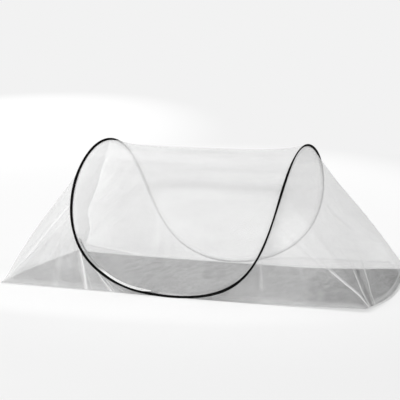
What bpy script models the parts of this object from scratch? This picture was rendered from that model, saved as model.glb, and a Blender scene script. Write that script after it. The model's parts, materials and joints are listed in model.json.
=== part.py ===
# Pop-up mosquito net tent: one closed hoop of spring wire bent into a saddle, a net roof
# hung between its two arches, a net closing each end, a zipped slit and a sewn-in floor.
# Metres, +Z up. The long side runs along X and the zipped side faces -Y.
# The origin is on the ground, under the middle of the floor.

import math
import bmesh
import bpy
import numpy as np
from mathutils import Matrix, Vector

# Clearance between pieces that lie against each other
touch_gap = 0.0003

# Floor
floor_length = 2.0            # corner to corner
floor_width = 0.93
end_bow = 0.038               # how far each short side bows out at its middle
floor_cloth = 0.0012
floor_step = 0.008            # width of the step up into the binding
corner_lift = 0.0105          # how far the nets draw the rear right corner up
corner_reach = 0.024          # and how far they draw it out along X

# Each corner's lift as a share of that one: left and right at the front, then at the rear
corner_lift_shares = ((0.35, 1.0), (0.8, 1.0))
calm_share = 0.35             # share of the half length where the floor lies flat

# Binding: a tape folded round the floor's edge
binding_width = 0.014
binding_tape = 0.0008

# Hoop, measured to the middle of the wire
hoop_half_span = 0.57         # from the middle to each crown, along X
hoop_half_depth = 0.481       # from the middle to each low point, along Y
hoop_height = 0.755
span_share = -0.13            # third harmonic of the span, which squares the arches' sides
depth_share = 0.311           # third harmonic of the depth, which bulges the limbs
height_share = 0.0454         # fourth harmonic of the height, which flattens the low points

# Wire, its crimped joint and the sleeve of tape folded round it
wire_diameter = 0.004
wire_end_gap = 0.001
ferrule_wall = 0.0008
ferrule_length = 0.03
sleeve_tape = 0.001
sleeve_reach = 0.009          # from the wire's middle to the sleeve's mouth
slot_seat = 0.0055            # from the wire's middle to a net's edge in the slot

# Nets
net_cloth = 0.0006
net_turn = 0.003              # how far a net runs past the mouth before it turns
roof_sag = 0.018
roof_wave = 0.004
fold_depth = 0.009
wave_count = 5                # half waves from the front to the rear of the roof

# Zipper
zipper_inset = 0.022          # from the wire's middle to the zipper's middle
tape_width = 0.0075
tape_cloth = 0.0006
tape_overlap = 0.0025         # how far a tape covers the net's cut edge
tape_tail = 0.012             # tape past each stop
coil_diameter = 0.002
stop_length = 0.004
stop_overhang = 0.0006        # how far a stop reaches past the coils on each side
slider_length = 0.012
slider_plate = 0.001
slider_web = 0.0008
slider_lip = 0.001
slider_clear = 0.0004         # running clearance inside the slider
web_length = 0.004
crown_width = 0.002
crown_bar = 0.001
crown_opening = 0.0021
crown_length = 0.008
pull_thickness = 0.0012
pull_arm = 0.0009
pull_width = 0.0052
pull_tip_width = 0.0036
pull_neck = 0.0055            # from the swing axis to where the tab starts
pull_length = 0.026
pin_back = 0.0018             # how far the swing axis lies below the slider's middle

# Half outline of the slider, from its narrow foot to its nose: shares of its half length
# and of its half width
slider_outline_shares = ((-1, 0.86), (-0.2, 1), (0.8, 1), (1, 0.7))

# Counts
quarter_count = 17            # stations from a low point to a crown
corner_columns = 3            # bottom columns each side of the middle, in the roof
sag_power = 4                 # how flat the roof's sag is between the arches
corner_power = 3              # how fast the rows lose the curve of the low points
fade_stations = 1.85          # how slowly the rings leave the zipper for the roof's line
fade_reach = 5                # stations past the zipper's ends that it still bends
floor_row_count = 13
floor_column_count = 15
zipper_count = 30
arc_count = 10                # sleeve's outer round
bore_count = 8
wire_sides = 8
ferrule_sides = 14
coil_sides = 6

# The zipper's ends and middle, in stations from the front low point to the left crown
zipper_low = 2
zipper_mid = 5
zipper_high = 8

# Where the end nets' rows meet the floor: station, share of the half side, share of the end
fan_stations = (0, 3, 6, 8, 9, 9.5, 10, 11, 12, 13, 14, 15, 16, 17)
fan_side_shares = (0, 0.17, 0.34, 0.53, 0.66, 0.80, 1, 1, 1, 1, 1, 1, 1, 1)
fan_end_shares = (0, 0, 0, 0, 0, 0, 0, 0.04, 0.12, 0.26, 0.44, 0.63, 0.82, 1)
half_rows = (5, 12)           # stations between which the rows are twice as close
fan_shares = (0.05, 0.2, 0.4, 0.6, 0.8, 0.95, 1)

# Tension folds: station of the crest on the hoop, and its height as a share of fold_depth
left_fold_shares = ((6, 0.8), (7.5, 1), (9, 0.8), (10.5, 0.7), (12.5, -0.9), (15, -0.6),
                    (20, -0.7), (23, -0.9), (25, 0.8), (27, 0.7))
right_fold_shares = ((7, 0.5), (9, 0.5), (10.5, 1), (12, -0.9), (13.5, 0.6), (16, -0.7),
                     (19.5, -0.7), (22.5, -0.9), (24.5, 0.9), (27, 0.7))
crest_stations = 0.55         # half width of a crest, in stations

station_count = 4 * quarter_count
wire_radius = wire_diameter / 2
ferrule_bore = wire_radius + touch_gap
ferrule_radius = ferrule_bore + ferrule_wall
bore_radius = ferrule_radius + touch_gap
sleeve_radius = bore_radius + sleeve_tape
net_lane = (touch_gap + net_cloth) / 2
slot_half = net_lane + net_cloth / 2 + touch_gap
flange_half = slot_half + sleeve_tape
hoop_low = sleeve_radius + touch_gap

cloth_lift = binding_tape + touch_gap
binding_inner_top = cloth_lift + floor_cloth + touch_gap
binding_height = binding_inner_top + binding_tape
net_foot = binding_height + touch_gap + net_cloth / 2
foot_inset = binding_width / 2
floor_insets = (binding_tape + touch_gap, binding_width + touch_gap,
                binding_width + touch_gap + floor_step)

coil_radius = coil_diameter / 2
web_half = slider_web / 2
rail_gap = web_half + slider_clear
tape_edge = rail_gap + tape_width
coil_seat = rail_gap + coil_radius
coil_lift = tape_cloth / 2 + touch_gap + coil_radius
coil_top = coil_lift + coil_radius
net_lap = tape_edge - tape_overlap
net_clear = tape_edge + touch_gap + net_cloth
net_drop = tape_cloth / 2 + touch_gap + net_cloth / 2


def unit(vectors):
    return vectors / np.linalg.norm(vectors, axis=-1, keepdims=True)


def material(name, colour, roughness, metallic=0.0, alpha=1.0):
    new = bpy.data.materials.new(name)
    new.use_nodes = True
    shader = new.node_tree.nodes["Principled BSDF"]
    shader.inputs["Base Color"].default_value = (*colour, 1.0)
    shader.inputs["Roughness"].default_value = roughness
    shader.inputs["Metallic"].default_value = metallic
    shader.inputs["Alpha"].default_value = alpha
    return new


def add_object(name, points, faces, finish, smooth_deg=40.0):
    """Put a mesh in the scene as one named piece with its faces pointing out."""
    mesh = bpy.data.meshes.new(name)
    mesh.from_pydata([tuple(p) for p in np.asarray(points, float)], [], faces)
    shape = bmesh.new()
    shape.from_mesh(mesh)
    bmesh.ops.recalc_face_normals(shape, faces=shape.faces)
    shape.to_mesh(mesh)
    shape.free()
    mesh.shade_smooth()
    mesh.set_sharp_from_angle(angle=math.radians(smooth_deg))
    piece = bpy.data.objects.new(name, mesh)
    bpy.context.scene.collection.objects.link(piece)
    mesh.materials.append(finish)
    return piece


def loft(name, sections, finish, ring=False):
    """Join sections of equal length into one solid, capped unless it closes on itself."""
    sections = np.asarray(sections, float)
    rows, width = sections.shape[:2]
    faces = []
    for row in range(rows if ring else rows - 1):
        after = (row + 1) % rows
        for side in range(width):
            beside = (side + 1) % width
            faces.append((row * width + side, row * width + beside,
                          after * width + beside, after * width + side))
    if not ring:
        faces.append(tuple(range(width)))
        faces.append(tuple((rows - 1) * width + side for side in range(width)))
    return add_object(name, sections.reshape(-1, 3), faces, finish)


def give_thickness(piece, thickness):
    solid = piece.modifiers.new("cloth", "SOLIDIFY")
    solid.thickness = thickness
    solid.offset = 0.0
    solid.use_even_offset = True
    solid.use_rim = True


# Hoop: station 0 is the front low point, then the right crown, the rear low point and the
# left crown, a quarter of the stations apart

def hoop_points(turn):
    x = hoop_half_span * ((1 - span_share) * np.cos(turn) + span_share * np.cos(3 * turn))
    y = hoop_half_depth * ((1 + depth_share) * np.sin(turn) + depth_share * np.sin(3 * turn))
    rise = (1 + np.cos(2 * turn)) / 2 + height_share * (np.cos(4 * turn) - 1)
    return np.stack([x, y, hoop_low + (hoop_height - hoop_low) * rise], axis=-1)


def hoop_frames(turn):
    """Wire's middle, its direction, and the ways to the roof, the mouth and across it."""
    middle = hoop_points(turn)
    along = unit(np.stack([
        hoop_half_span * (-(1 - span_share) * np.sin(turn) - 3 * span_share * np.sin(3 * turn)),
        hoop_half_depth * ((1 + depth_share) * np.cos(turn)
                           + 3 * depth_share * np.cos(3 * turn)),
        (hoop_height - hoop_low) * (-np.sin(2 * turn) - 4 * height_share * np.sin(4 * turn))],
        axis=-1))
    # The roof is ruled along X, so its cross-section's tangent has no X. Both parts of it
    # hold the cosine of the turn, which is taken out so that the low points are no cusp.
    tangent = unit(np.stack([
        np.zeros_like(turn),
        hoop_half_depth * (1 + depth_share + 3 * depth_share * (4 * np.cos(turn) ** 2 - 3)),
        -2 * (hoop_height - hoop_low) * np.sin(turn)
        * (1 + 8 * height_share * np.cos(2 * turn))], axis=-1))
    outward = np.cross(np.array([1.0, 0.0, 0.0]), tangent)
    to_roof = unit(np.cross(outward, along))
    foot = np.stack([(floor_length / 2 + end_bow) * np.cos(turn),
                     floor_width / 2 * np.sin(turn), np.zeros_like(turn)], axis=-1)
    to_end = foot - middle
    to_end = unit(to_end - (to_end * along).sum(-1, keepdims=True) * along)
    to_mouth = unit(to_roof + to_end)
    across = np.cross(along, to_mouth)
    return middle, along, to_roof, to_mouth, across, outward


station_turns = -math.pi / 2 + np.arange(station_count) * (2 * math.pi / station_count)
centre, along, to_roof, to_mouth, across, outward = hoop_frames(station_turns)


def left_index(station):
    """Station counted from the front low point towards the left crown."""
    return (-station) % station_count


# Zipper: the slider has to run on a true circle, so the zipper's middle is the circle
# through three points set in from the hoop, and its tapes are a slice of a cone about
# the circle's axis that leans as the roof does there

def zipper_circle():
    picks = [left_index(station) for station in (zipper_low, zipper_mid, zipper_high)]
    low, mid, high = (centre[picks] + to_roof[picks] * zipper_inset)
    axis = unit(np.cross(high - mid, low - mid))
    first, second = low - high, mid - high
    both = np.cross(first, second)
    hub = high + np.cross((first @ first) * second - (second @ second) * first, both) / (
        2 * (both @ both))
    axis = axis if axis[1] > 0 else -axis
    start = unit(low - hub)
    lean = []
    for index in range(zipper_low, zipper_high + 1):
        pick = left_index(index)
        radial = centre[pick] - hub
        radial = unit(radial - (radial @ axis) * axis)
        lean.append(math.atan2(-to_roof[pick] @ axis, -to_roof[pick] @ radial))
    return hub, axis, start, float(np.linalg.norm(low - hub)), float(np.mean(lean))


zip_hub, zip_axis, zip_start, zip_radius, zip_lean = zipper_circle()
zip_side = np.cross(zip_axis, zip_start)


def zip_angle(point):
    arm = np.asarray(point) - zip_hub
    return math.atan2(arm @ zip_side, arm @ zip_start)


def zip_frame(angle):
    """Directions up the zipper, across it towards the hoop, and out of the tent."""
    radial = math.cos(angle) * zip_start + math.sin(angle) * zip_side
    upward = np.cross(zip_axis, radial)
    hoopward = math.cos(zip_lean) * radial + math.sin(zip_lean) * zip_axis
    out = math.sin(zip_lean) * radial - math.cos(zip_lean) * zip_axis
    return radial, upward, hoopward, out


def zip_point(angle, side, lift):
    radial, upward, hoopward, out = zip_frame(angle)
    return zip_hub + zip_radius * radial + side * hoopward + lift * out


low_angle = zip_angle(centre[left_index(zipper_low)])
high_angle = zip_angle(centre[left_index(zipper_high)])
coil_low = low_angle + (touch_gap + stop_length) / zip_radius
coil_high = high_angle - (touch_gap + stop_length) / zip_radius
rest_angle = coil_high - slider_length / 2 / zip_radius
travel = rest_angle - coil_low - slider_length / 2 / zip_radius


# Roof net: rings that follow the hoop from the slot past the zipper, then ruled rows

def ring_share(station):
    """How much of the zipper's line the rings keep: all beside it, and less past its ends."""
    past = max(zipper_low - station, station - zipper_high, 0)
    return math.exp(-(past / fade_stations) ** 2)


def roof_rings():
    """Closed rings of the roof net, from its seat in the slot to the ruled rows."""
    lane = across * net_lane
    rings = [centre + to_mouth * slot_seat + lane,
             centre + to_mouth * (sleeve_reach + touch_gap) + lane,
             centre + to_mouth * (sleeve_reach + net_turn / 2) + across * net_turn]
    base = rings[-1]
    places = (net_clear, net_lap, -net_lap, -net_clear)
    for place in places:
        ring = base + to_roof * (zipper_inset - sleeve_reach + places[0] / 2 - place)
        for station in range(zipper_low - fade_reach, zipper_high + fade_reach + 1):
            share = ring_share(station)
            index = left_index(station)
            target = zip_point(zip_angle(centre[index]), place, -net_drop)
            ring[index] = ring[index] * (1 - share) + target * share
        rings.append(ring)
    return rings


def roof_surface():
    """Rings from the slot to the zipper's far side, then rows ruled from limb to limb."""
    rings = roof_rings()
    cut_band = len(rings) - 3
    points = list(np.concatenate(rings))
    faces = []
    slit = {left_index(station) for station in range(zipper_low + 1, zipper_high + 1)}
    for band in range(len(rings) - 1):
        for index in range(station_count):
            if band == cut_band and index in slit:
                continue
            after = (index + 1) % station_count
            faces.append((band * station_count + index, band * station_count + after,
                          (band + 1) * station_count + after,
                          (band + 1) * station_count + index))
    edge = rings[-1]
    offset = (len(rings) - 1) * station_count
    rows = 2 * quarter_count - 2 * corner_columns
    columns = 2 * corner_columns
    half = 2 * quarter_count
    bottom = [(column - corner_columns) % station_count for column in range(columns + 1)]
    top = [(half + corner_columns - column) % station_count for column in range(columns + 1)]
    right = [corner_columns + row for row in range(rows + 1)]
    left = [left_index(corner_columns + row) for row in range(rows + 1)]
    index_of = {}
    for row in range(rows + 1):
        run = row / rows
        for column in range(columns + 1):
            if row == 0:
                index_of[row, column] = offset + bottom[column]
            elif row == rows:
                index_of[row, column] = offset + top[column]
            elif column == 0:
                index_of[row, column] = offset + left[row]
            elif column == columns:
                index_of[row, column] = offset + right[row]
            else:
                part = column / columns
                spot = edge[left[row]] * (1 - part) + edge[right[row]] * part
                low_line = edge[bottom[0]] * (1 - part) + edge[bottom[-1]] * part
                top_line = edge[top[0]] * (1 - part) + edge[top[-1]] * part
                spot = spot + (edge[bottom[column]] - low_line) * (1 - run) ** corner_power
                spot = spot + (edge[top[column]] - top_line) * run ** corner_power
                slack = 1 - abs(2 * part - 1) ** sag_power
                out = outward[right[row]]
                drop = roof_sag * max(out[2], 0) ** 2
                drop += (roof_wave * math.sin(wave_count * math.pi * run)
                         * math.sin(math.pi * run))
                index_of[row, column] = len(points)
                points.append(spot - out * drop * slack)
    for row in range(rows):
        for column in range(columns):
            faces.append((index_of[row, column], index_of[row, column + 1],
                          index_of[row + 1, column + 1], index_of[row + 1, column]))
    return points, faces


# Floor's outline, and the lines that it and its bindings share so that they bend alike

def end_outline(y):
    return floor_length / 2 + end_bow * (1 - (y / (floor_width / 2)) ** 2)


def draw_corners(x, y, z):
    """Where a point of the flat floor lies once the nets have drawn its corners up."""
    run = max(abs(x) / (floor_length / 2) - calm_share, 0) / (1 - calm_share)
    side = y / (floor_width / 2)
    front, rear = (shares[int(x > 0)] for shares in corner_lift_shares)
    share = (front * (1 - side) + rear * (1 + side)) / 2
    out = corner_reach * (run * max(side, 0)) ** 2 if x > 0 else 0
    return x + out, y, z + corner_lift * share * (run * side) ** 2


def cross_lines():
    """Y of the floor's inner lines, evenly spaced from front to rear."""
    return (floor_width / 2 - floor_insets[-1]) * np.linspace(-1, 1, floor_row_count)


def long_lines(y):
    """X of the floor's inner lines at one Y, closer together towards the corners."""
    turns = np.linspace(-1, 1, floor_column_count) * math.pi / 2
    return (end_outline(y) - floor_insets[-1]) * np.sin(turns)


def side_line(inset, face):
    """Places along a long side at an inset from its edge, from mitre to mitre."""
    y = floor_width / 2 - inset
    mitre = end_outline(y) - inset - touch_gap
    return [(x, face * y) for x in (-mitre, *long_lines(y), mitre)]


def end_line(inset, face):
    """Places along a bowed short side at an inset from its edge."""
    mitre = floor_width / 2 - inset - touch_gap
    return [(face * (end_outline(y) - inset), y) for y in (-mitre, *cross_lines(), mitre)]


# End nets: rows fan from the hoop's half to the floor's corners and bowed end

def foot_point(station, side):
    """Where a row meets the binding, for a station counted from the front low point."""
    rear = station > quarter_count
    near = 2 * quarter_count - station if rear else station
    along_side = np.interp(near, fan_stations, fan_side_shares)
    along_end = np.interp(near, fan_stations, fan_end_shares)
    half_width = floor_width / 2
    y = half_width * (1 - along_end)
    bow = end_bow * (1 - (y / half_width) ** 2)
    x = side * (along_side * (floor_length / 2 - foot_inset) + bow)
    y = min(y, half_width - foot_inset) * (1 if rear else -1)
    if along_end > 0:
        line = end_line(foot_inset, side)
        spots, spot = [place[1] for place in line], y
    else:
        line = side_line(foot_inset, 1 if rear else -1)
        spots, spot = [place[0] for place in line], x
    drawn = np.array([draw_corners(*place, net_foot) for place in line])
    return np.array([np.interp(spot, spots, drawn[:, axis]) for axis in range(3)])


def end_rows():
    rows = []
    for station in range(2 * quarter_count):
        near = min(station, 2 * quarter_count - 1 - station)
        rows.append(float(station))
        if half_rows[0] <= near < half_rows[1]:
            rows.append(station + 0.5)
    rows.append(float(2 * quarter_count))
    return rows


def end_surface(side, folds):
    lane = -across * net_lane
    seats = [centre + to_mouth * slot_seat + lane,
             centre + to_mouth * (sleeve_reach + touch_gap) + lane,
             centre + to_mouth * (sleeve_reach + net_turn / 2) - across * net_turn]
    rows = end_rows()
    grid = []
    for station in rows:
        below = int(station)
        part = station - below
        first, second = (side * below) % station_count, (side * (below + 1)) % station_count
        line = [seat[first] * (1 - part) + seat[second] * part for seat in seats]
        start, foot = line[-1], foot_point(station, side)
        line += [start * (1 - share) + foot * share for share in fan_shares]
        grid.append(line)
    grid = np.array(grid)
    fan = grid[:, len(seats) - 1:]
    normals = unit(np.cross(np.gradient(fan, axis=0), np.gradient(fan, axis=1)))
    normals *= side
    runs = np.array((0.0,) + fan_shares)
    rise = np.zeros((len(rows), len(runs)))
    for crest, crest_share in folds:
        near = np.exp(-((np.array(rows) - crest) / crest_stations) ** 2)
        rise += fold_depth * crest_share * near[:, None] * np.sin(math.pi * runs)[None]
    fan += normals * rise[..., None]
    grid[..., 0] = side * np.maximum(side * grid[..., 0], touch_gap + net_cloth / 2)
    count = grid.shape[1]
    faces = [(row * count + column, row * count + column + 1,
              (row + 1) * count + column + 1, (row + 1) * count + column)
             for row in range(len(rows) - 1) for column in range(count - 1)]
    return grid.reshape(-1, 3), faces


# Sleeve, wire and ferrule

def sleeve_sections():
    """A tape folded round the wire: a round bead and two flaps with a slot between."""
    outer_start = math.asin(flange_half / sleeve_radius)
    bore_start = math.asin(slot_half / bore_radius)
    section = []
    for step in range(arc_count):
        angle = outer_start + (2 * math.pi - 2 * outer_start) * step / (arc_count - 1)
        section.append((sleeve_radius * math.cos(angle), sleeve_radius * math.sin(angle)))
    section += [(sleeve_reach, -flange_half), (sleeve_reach, -slot_half)]
    bore_step = (2 * math.pi - 2 * bore_start) / (bore_count - 1)
    corner_radius = bore_radius / math.cos(bore_step / 2)
    for step in range(bore_count):
        angle = -bore_start - bore_step * step
        section.append((corner_radius * math.cos(angle), corner_radius * math.sin(angle)))
    section += [(sleeve_reach, slot_half), (sleeve_reach, flange_half)]
    return [[centre[index] + to_mouth[index] * forward + across[index] * beside
             for forward, beside in section] for index in range(station_count)]


def wire_sections():
    half = 2 * quarter_count
    joint = (centre[half] + centre[half + 1]) / 2
    lay = unit(centre[half + 1] - centre[half])
    order = [(half + 1 + step) % station_count for step in range(station_count)]
    middles = [joint + lay * wire_end_gap / 2] + [centre[index] for index in order]
    middles.append(joint - lay * wire_end_gap / 2)
    ends = ((to_mouth[half] + to_mouth[half + 1]) / 2, (across[half] + across[half + 1]) / 2)
    fronts = [ends[0]] + [to_mouth[index] for index in order] + [ends[0]]
    sides = [ends[1]] + [across[index] for index in order] + [ends[1]]
    return [[middle + front * wire_radius * math.cos(2 * math.pi * step / wire_sides)
             + side * wire_radius * math.sin(2 * math.pi * step / wire_sides)
             for step in range(wire_sides)]
            for middle, front, side in zip(middles, fronts, sides)]


def ferrule_sections():
    half = 2 * quarter_count
    joint = (centre[half] + centre[half + 1]) / 2
    lay = unit(centre[half + 1] - centre[half])
    front = to_mouth[half]
    front = unit(front - (front @ lay) * lay)
    side = np.cross(lay, front)
    sections = []
    for step in range(ferrule_sides):
        angle = 2 * math.pi * step / ferrule_sides
        radial = front * math.cos(angle) + side * math.sin(angle)
        sections.append([joint + radial * radius + lay * reach for radius, reach in (
            (ferrule_bore, -ferrule_length / 2), (ferrule_radius, -ferrule_length / 2),
            (ferrule_radius, ferrule_length / 2), (ferrule_bore, ferrule_length / 2))])
    return sections


# Floor and bindings

def with_borders(half, lines):
    """Inner lines with the two lines of the border outside them on each side."""
    outer = [half - inset for inset in floor_insets[:2]]
    return [-spot for spot in outer] + list(lines) + outer[::-1]


def floor_solid(finish):
    """The cloth lies on the ground and steps up at its edge into the binding."""
    half_width = floor_width / 2
    y_lines = with_borders(half_width, cross_lines())
    points = []
    for y in y_lines:
        x_lines = with_borders(end_outline(y), long_lines(y))
        for order, x in enumerate(x_lines):
            border = min(order, len(x_lines) - 1 - order) < 2
            border = border or abs(y) > half_width - floor_insets[1] - touch_gap
            points.append(draw_corners(x, y, cloth_lift if border else 0.0))
    count = len(x_lines)
    faces = [(row * count + column, row * count + column + 1,
              (row + 1) * count + column + 1, (row + 1) * count + column)
             for row in range(len(y_lines) - 1) for column in range(count - 1)]
    top = [(x, y, z + floor_cloth) for x, y, z in points]
    total = len(points)
    rim = []
    for column in range(count - 1):
        rim.append((column, column + 1))
        last = (len(y_lines) - 1) * count
        rim.append((last + column + 1, last + column))
    for row in range(len(y_lines) - 1):
        rim.append(((row + 1) * count, row * count))
        rim.append((row * count + count - 1, (row + 1) * count + count - 1))
    solid = faces + [tuple(total + corner for corner in face) for face in faces]
    solid += [(first, second, total + second, total + first) for first, second in rim]
    return add_object("floor_panel", points + top, solid, finish)


binding_section = ((0.0, 0.0), (binding_width, 0.0), (binding_width, binding_tape),
                   (binding_tape, binding_tape), (binding_tape, binding_inner_top),
                   (binding_width, binding_inner_top), (binding_width, binding_height),
                   (0.0, binding_height))


def floor_binding(name, line_of, face, finish):
    """A strip along one side, mitred into the strips that meet it at the corners."""
    edges = [[draw_corners(x, y, height) for x, y in line_of(inset, face)]
             for inset, height in binding_section]
    return loft(name, list(zip(*edges)), finish)


# Zipper pieces

def zip_strip(name, start, end, section, finish):
    return loft(name, [[zip_point(angle, side, lift) for side, lift in section]
                       for angle in np.linspace(start, end, zipper_count)], finish)


def zipper_tapes(finish):
    tail = tape_tail / zip_radius
    for name, face in (("zipper_tape_hoop_side", 1), ("zipper_tape_door_side", -1)):
        half = tape_cloth / 2
        section = [(face * rail_gap, -half), (face * tape_edge, -half),
                   (face * tape_edge, half), (face * rail_gap, half)]
        zip_strip(name, low_angle - tail, high_angle + tail, section, finish)


def zipper_coils(finish):
    for name, face in (("zipper_coil_hoop_side", 1), ("zipper_coil_door_side", -1)):
        section = []
        for step in range(coil_sides):
            turn = 2 * math.pi * (step + 0.5) / coil_sides
            section.append((face * coil_seat + coil_radius * math.cos(turn),
                            coil_lift + coil_radius * math.sin(turn)))
        zip_strip(name, coil_low, coil_high, section, finish)


def zipper_stops(finish):
    half = coil_seat + coil_radius + stop_overhang
    low = tape_cloth / 2 + touch_gap
    section = [(-half, low), (half, low), (half, coil_top), (-half, coil_top)]
    ends = (("zipper_bottom_stop", low_angle), ("zipper_top_stop", coil_high + touch_gap
                                                / zip_radius))
    for name, start in ends:
        loft(name, [[zip_point(angle, side, lift) for side, lift in section]
                    for angle in (start, start + stop_length / zip_radius)], finish)


def block(low, high):
    """Corners and faces of a box between two corners."""
    points = [(x, y, z) for x in (low[0], high[0]) for y in (low[1], high[1])
              for z in (low[2], high[2])]
    faces = [(0, 1, 3, 2), (4, 6, 7, 5), (0, 4, 5, 1), (2, 3, 7, 6), (0, 2, 6, 4),
             (1, 5, 7, 3)]
    return points, faces


def join_blocks(name, solids, finish):
    """Union of overlapping solids, the first of which is kept as the piece."""
    pieces = []
    for order, (points, faces) in enumerate(solids):
        pieces.append(add_object(name if order == 0 else name + "_tool", points, faces,
                                 finish))
    for tool in pieces[1:]:
        cut = pieces[0].modifiers.new("join", "BOOLEAN")
        cut.operation = "UNION"
        cut.solver = "EXACT"
        cut.object = tool
        tool.hide_render = True
        tool.display_type = "WIRE"
    return pieces


def prism(outline, low, high):
    """An outline in the zipper's own plane, thickened between two heights."""
    count = len(outline)
    points = [(x, y, low) for x, y in outline] + [(x, y, high) for x, y in outline]
    faces = [tuple(range(count)), tuple(range(2 * count - 1, count - 1, -1))]
    faces += [(step, (step + 1) % count, count + (step + 1) % count, count + step)
              for step in range(count)]
    return points, faces


# In the slider's own frame X runs up the zipper, Y towards the hoop and Z out of the tent
inner_roof = -(tape_cloth / 2 + slider_clear)
outer_floor = coil_top + slider_clear
lip_inner = coil_seat + coil_radius + slider_clear
slider_half = lip_inner + slider_lip
root_depth = slider_plate / 4     # how far a crown, lip or web is let into its plate
waist = slider_outline_shares[1][0] * slider_length / 2
shoulder = slider_outline_shares[2][0] * slider_length / 2


def slider_outline():
    """A slider's shield shape: wide where the coils part, narrower where they meet."""
    side = [(length_share * slider_length / 2, width_share * slider_half)
            for length_share, width_share in slider_outline_shares]
    return [(x, -y) for x, y in side] + side[::-1]


def crown(face, plate_face):
    """A strap standing on a plate, which the pull's bar runs under."""
    half, reach = crown_width / 2, crown_length / 2
    top = plate_face + face * (crown_opening + crown_bar)
    under = plate_face + face * crown_opening
    root = plate_face - face * root_depth
    solids = []
    for low, high in (((-reach, -half, root), (-reach + crown_bar, half, top)),
                      ((reach - crown_bar, -half, root), (reach, half, top)),
                      ((-reach, -half, under), (reach, half, top))):
        low = (low[0], low[1], min(low[2], high[2])), (high[0], high[1], max(low[2], high[2]))
        solids.append(block(*low))
    return solids


def make_slider(finish):
    outer = (outer_floor, outer_floor + slider_plate)
    inner = (inner_roof - slider_plate, inner_roof)
    outline = slider_outline()
    lip_low = tape_cloth / 2 + slider_clear
    solids = [prism(outline, *outer), prism(outline, *inner),
              block((shoulder - web_length, -web_half, inner_roof - root_depth),
                    (shoulder, web_half, outer_floor + root_depth))]
    for face in (-1, 1):
        sides = sorted((face * lip_inner, face * slider_half))
        solids.append(block((waist, sides[0], lip_low),
                            (shoulder, sides[1], outer_floor + root_depth)))
    solids += crown(1, outer[1]) + crown(-1, inner[0])
    return join_blocks("zipper_slider", solids, finish)


def make_pull(name, finish):
    """A flat tab on a ring. Its bar is at the origin and it hangs towards -X."""
    half = pull_thickness / 2
    hole = crown_width / 2 + slider_clear
    arm = hole + pull_arm
    ends = (half, -half, -pull_neck, -pull_neck - pull_arm, -pull_length)
    widths = (arm, arm, arm, pull_width / 2, pull_tip_width / 2)
    points, faces = [], []
    for level in (-half, half):
        for x, width in zip(ends, widths):
            inner = min(hole, width - pull_arm)
            points += [(x, -width, level), (x, -inner, level), (x, inner, level),
                       (x, width, level)]
    count = 4 * len(ends)
    open_cells = {(1, 1)}
    cells = {(row, column) for row in range(len(ends) - 1) for column in range(3)}
    cells -= open_cells
    for row, column in sorted(cells):
        face = (4 * row + column, 4 * row + column + 1, 4 * row + column + 5,
                4 * row + column + 4)
        faces.append(face)
        faces.append(tuple(count + corner for corner in reversed(face)))
        borders = (((row - 1, column), face[0], face[1]), ((row + 1, column), face[2], face[3]),
                   ((row, column - 1), face[3], face[0]), ((row, column + 1), face[1], face[2]))
        for beyond, first, second in borders:
            if beyond not in cells:
                faces.append((first, second, count + second, count + first))
    return add_object(name, points, faces, finish)


def place(piece, spot, frame):
    columns = [Vector(direction) for direction in frame]
    turn = Matrix((columns[0], columns[1], columns[2])).transposed()
    piece.matrix_world = Matrix.Translation(Vector(spot)) @ turn.to_4x4()


def hang_on(piece, carrier):
    """Parent a placed piece to another without moving it."""
    world = piece.matrix_world.copy()
    piece.parent = carrier
    piece.matrix_parent_inverse = carrier.matrix_world.inverted()
    piece.matrix_world = world


def build_zipper(white, steel):
    zipper_tapes(white)
    zipper_coils(white)
    zipper_stops(steel)
    radial, upward, hoopward, out = zip_frame(rest_angle)
    frame = (upward, hoopward, out)
    hub = bpy.data.objects.new("zipper_travel_axis", None)
    bpy.context.scene.collection.objects.link(hub)
    place(hub, zip_hub, (radial, upward, zip_axis))
    bpy.context.view_layer.update()
    spot = zip_point(rest_angle, 0.0, 0.0)
    for piece in make_slider(steel):
        place(piece, spot, frame)
        hang_on(piece, hub)
    half = pull_thickness / 2
    outer_lift = outer_floor + slider_plate + touch_gap + half
    inner_lift = inner_roof - slider_plate - touch_gap - half
    # The outer pull lies on the zipper. The inner one hangs straight down from it, or lies
    # against it where the zipper leans out.
    lean_in = max(math.atan2(out[2], upward[2]), 0)
    down_in = math.cos(lean_in) * upward + math.sin(lean_in) * out
    away_in = np.cross(down_in, -hoopward)
    for name, lift, turned in (("outer_pull", outer_lift, frame),
                               ("inner_pull", inner_lift, (down_in, -hoopward, away_in))):
        pull = make_pull(name, steel)
        pin = spot - upward * pin_back + out * lift
        place(pull, pin, turned)
        hang_on(pull, hub)
        print(name, "swings about", np.round(pin, 6), "axis", np.round(turned[1], 6))
    print("inner pull leans in", round(math.degrees(lean_in), 2))


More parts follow.
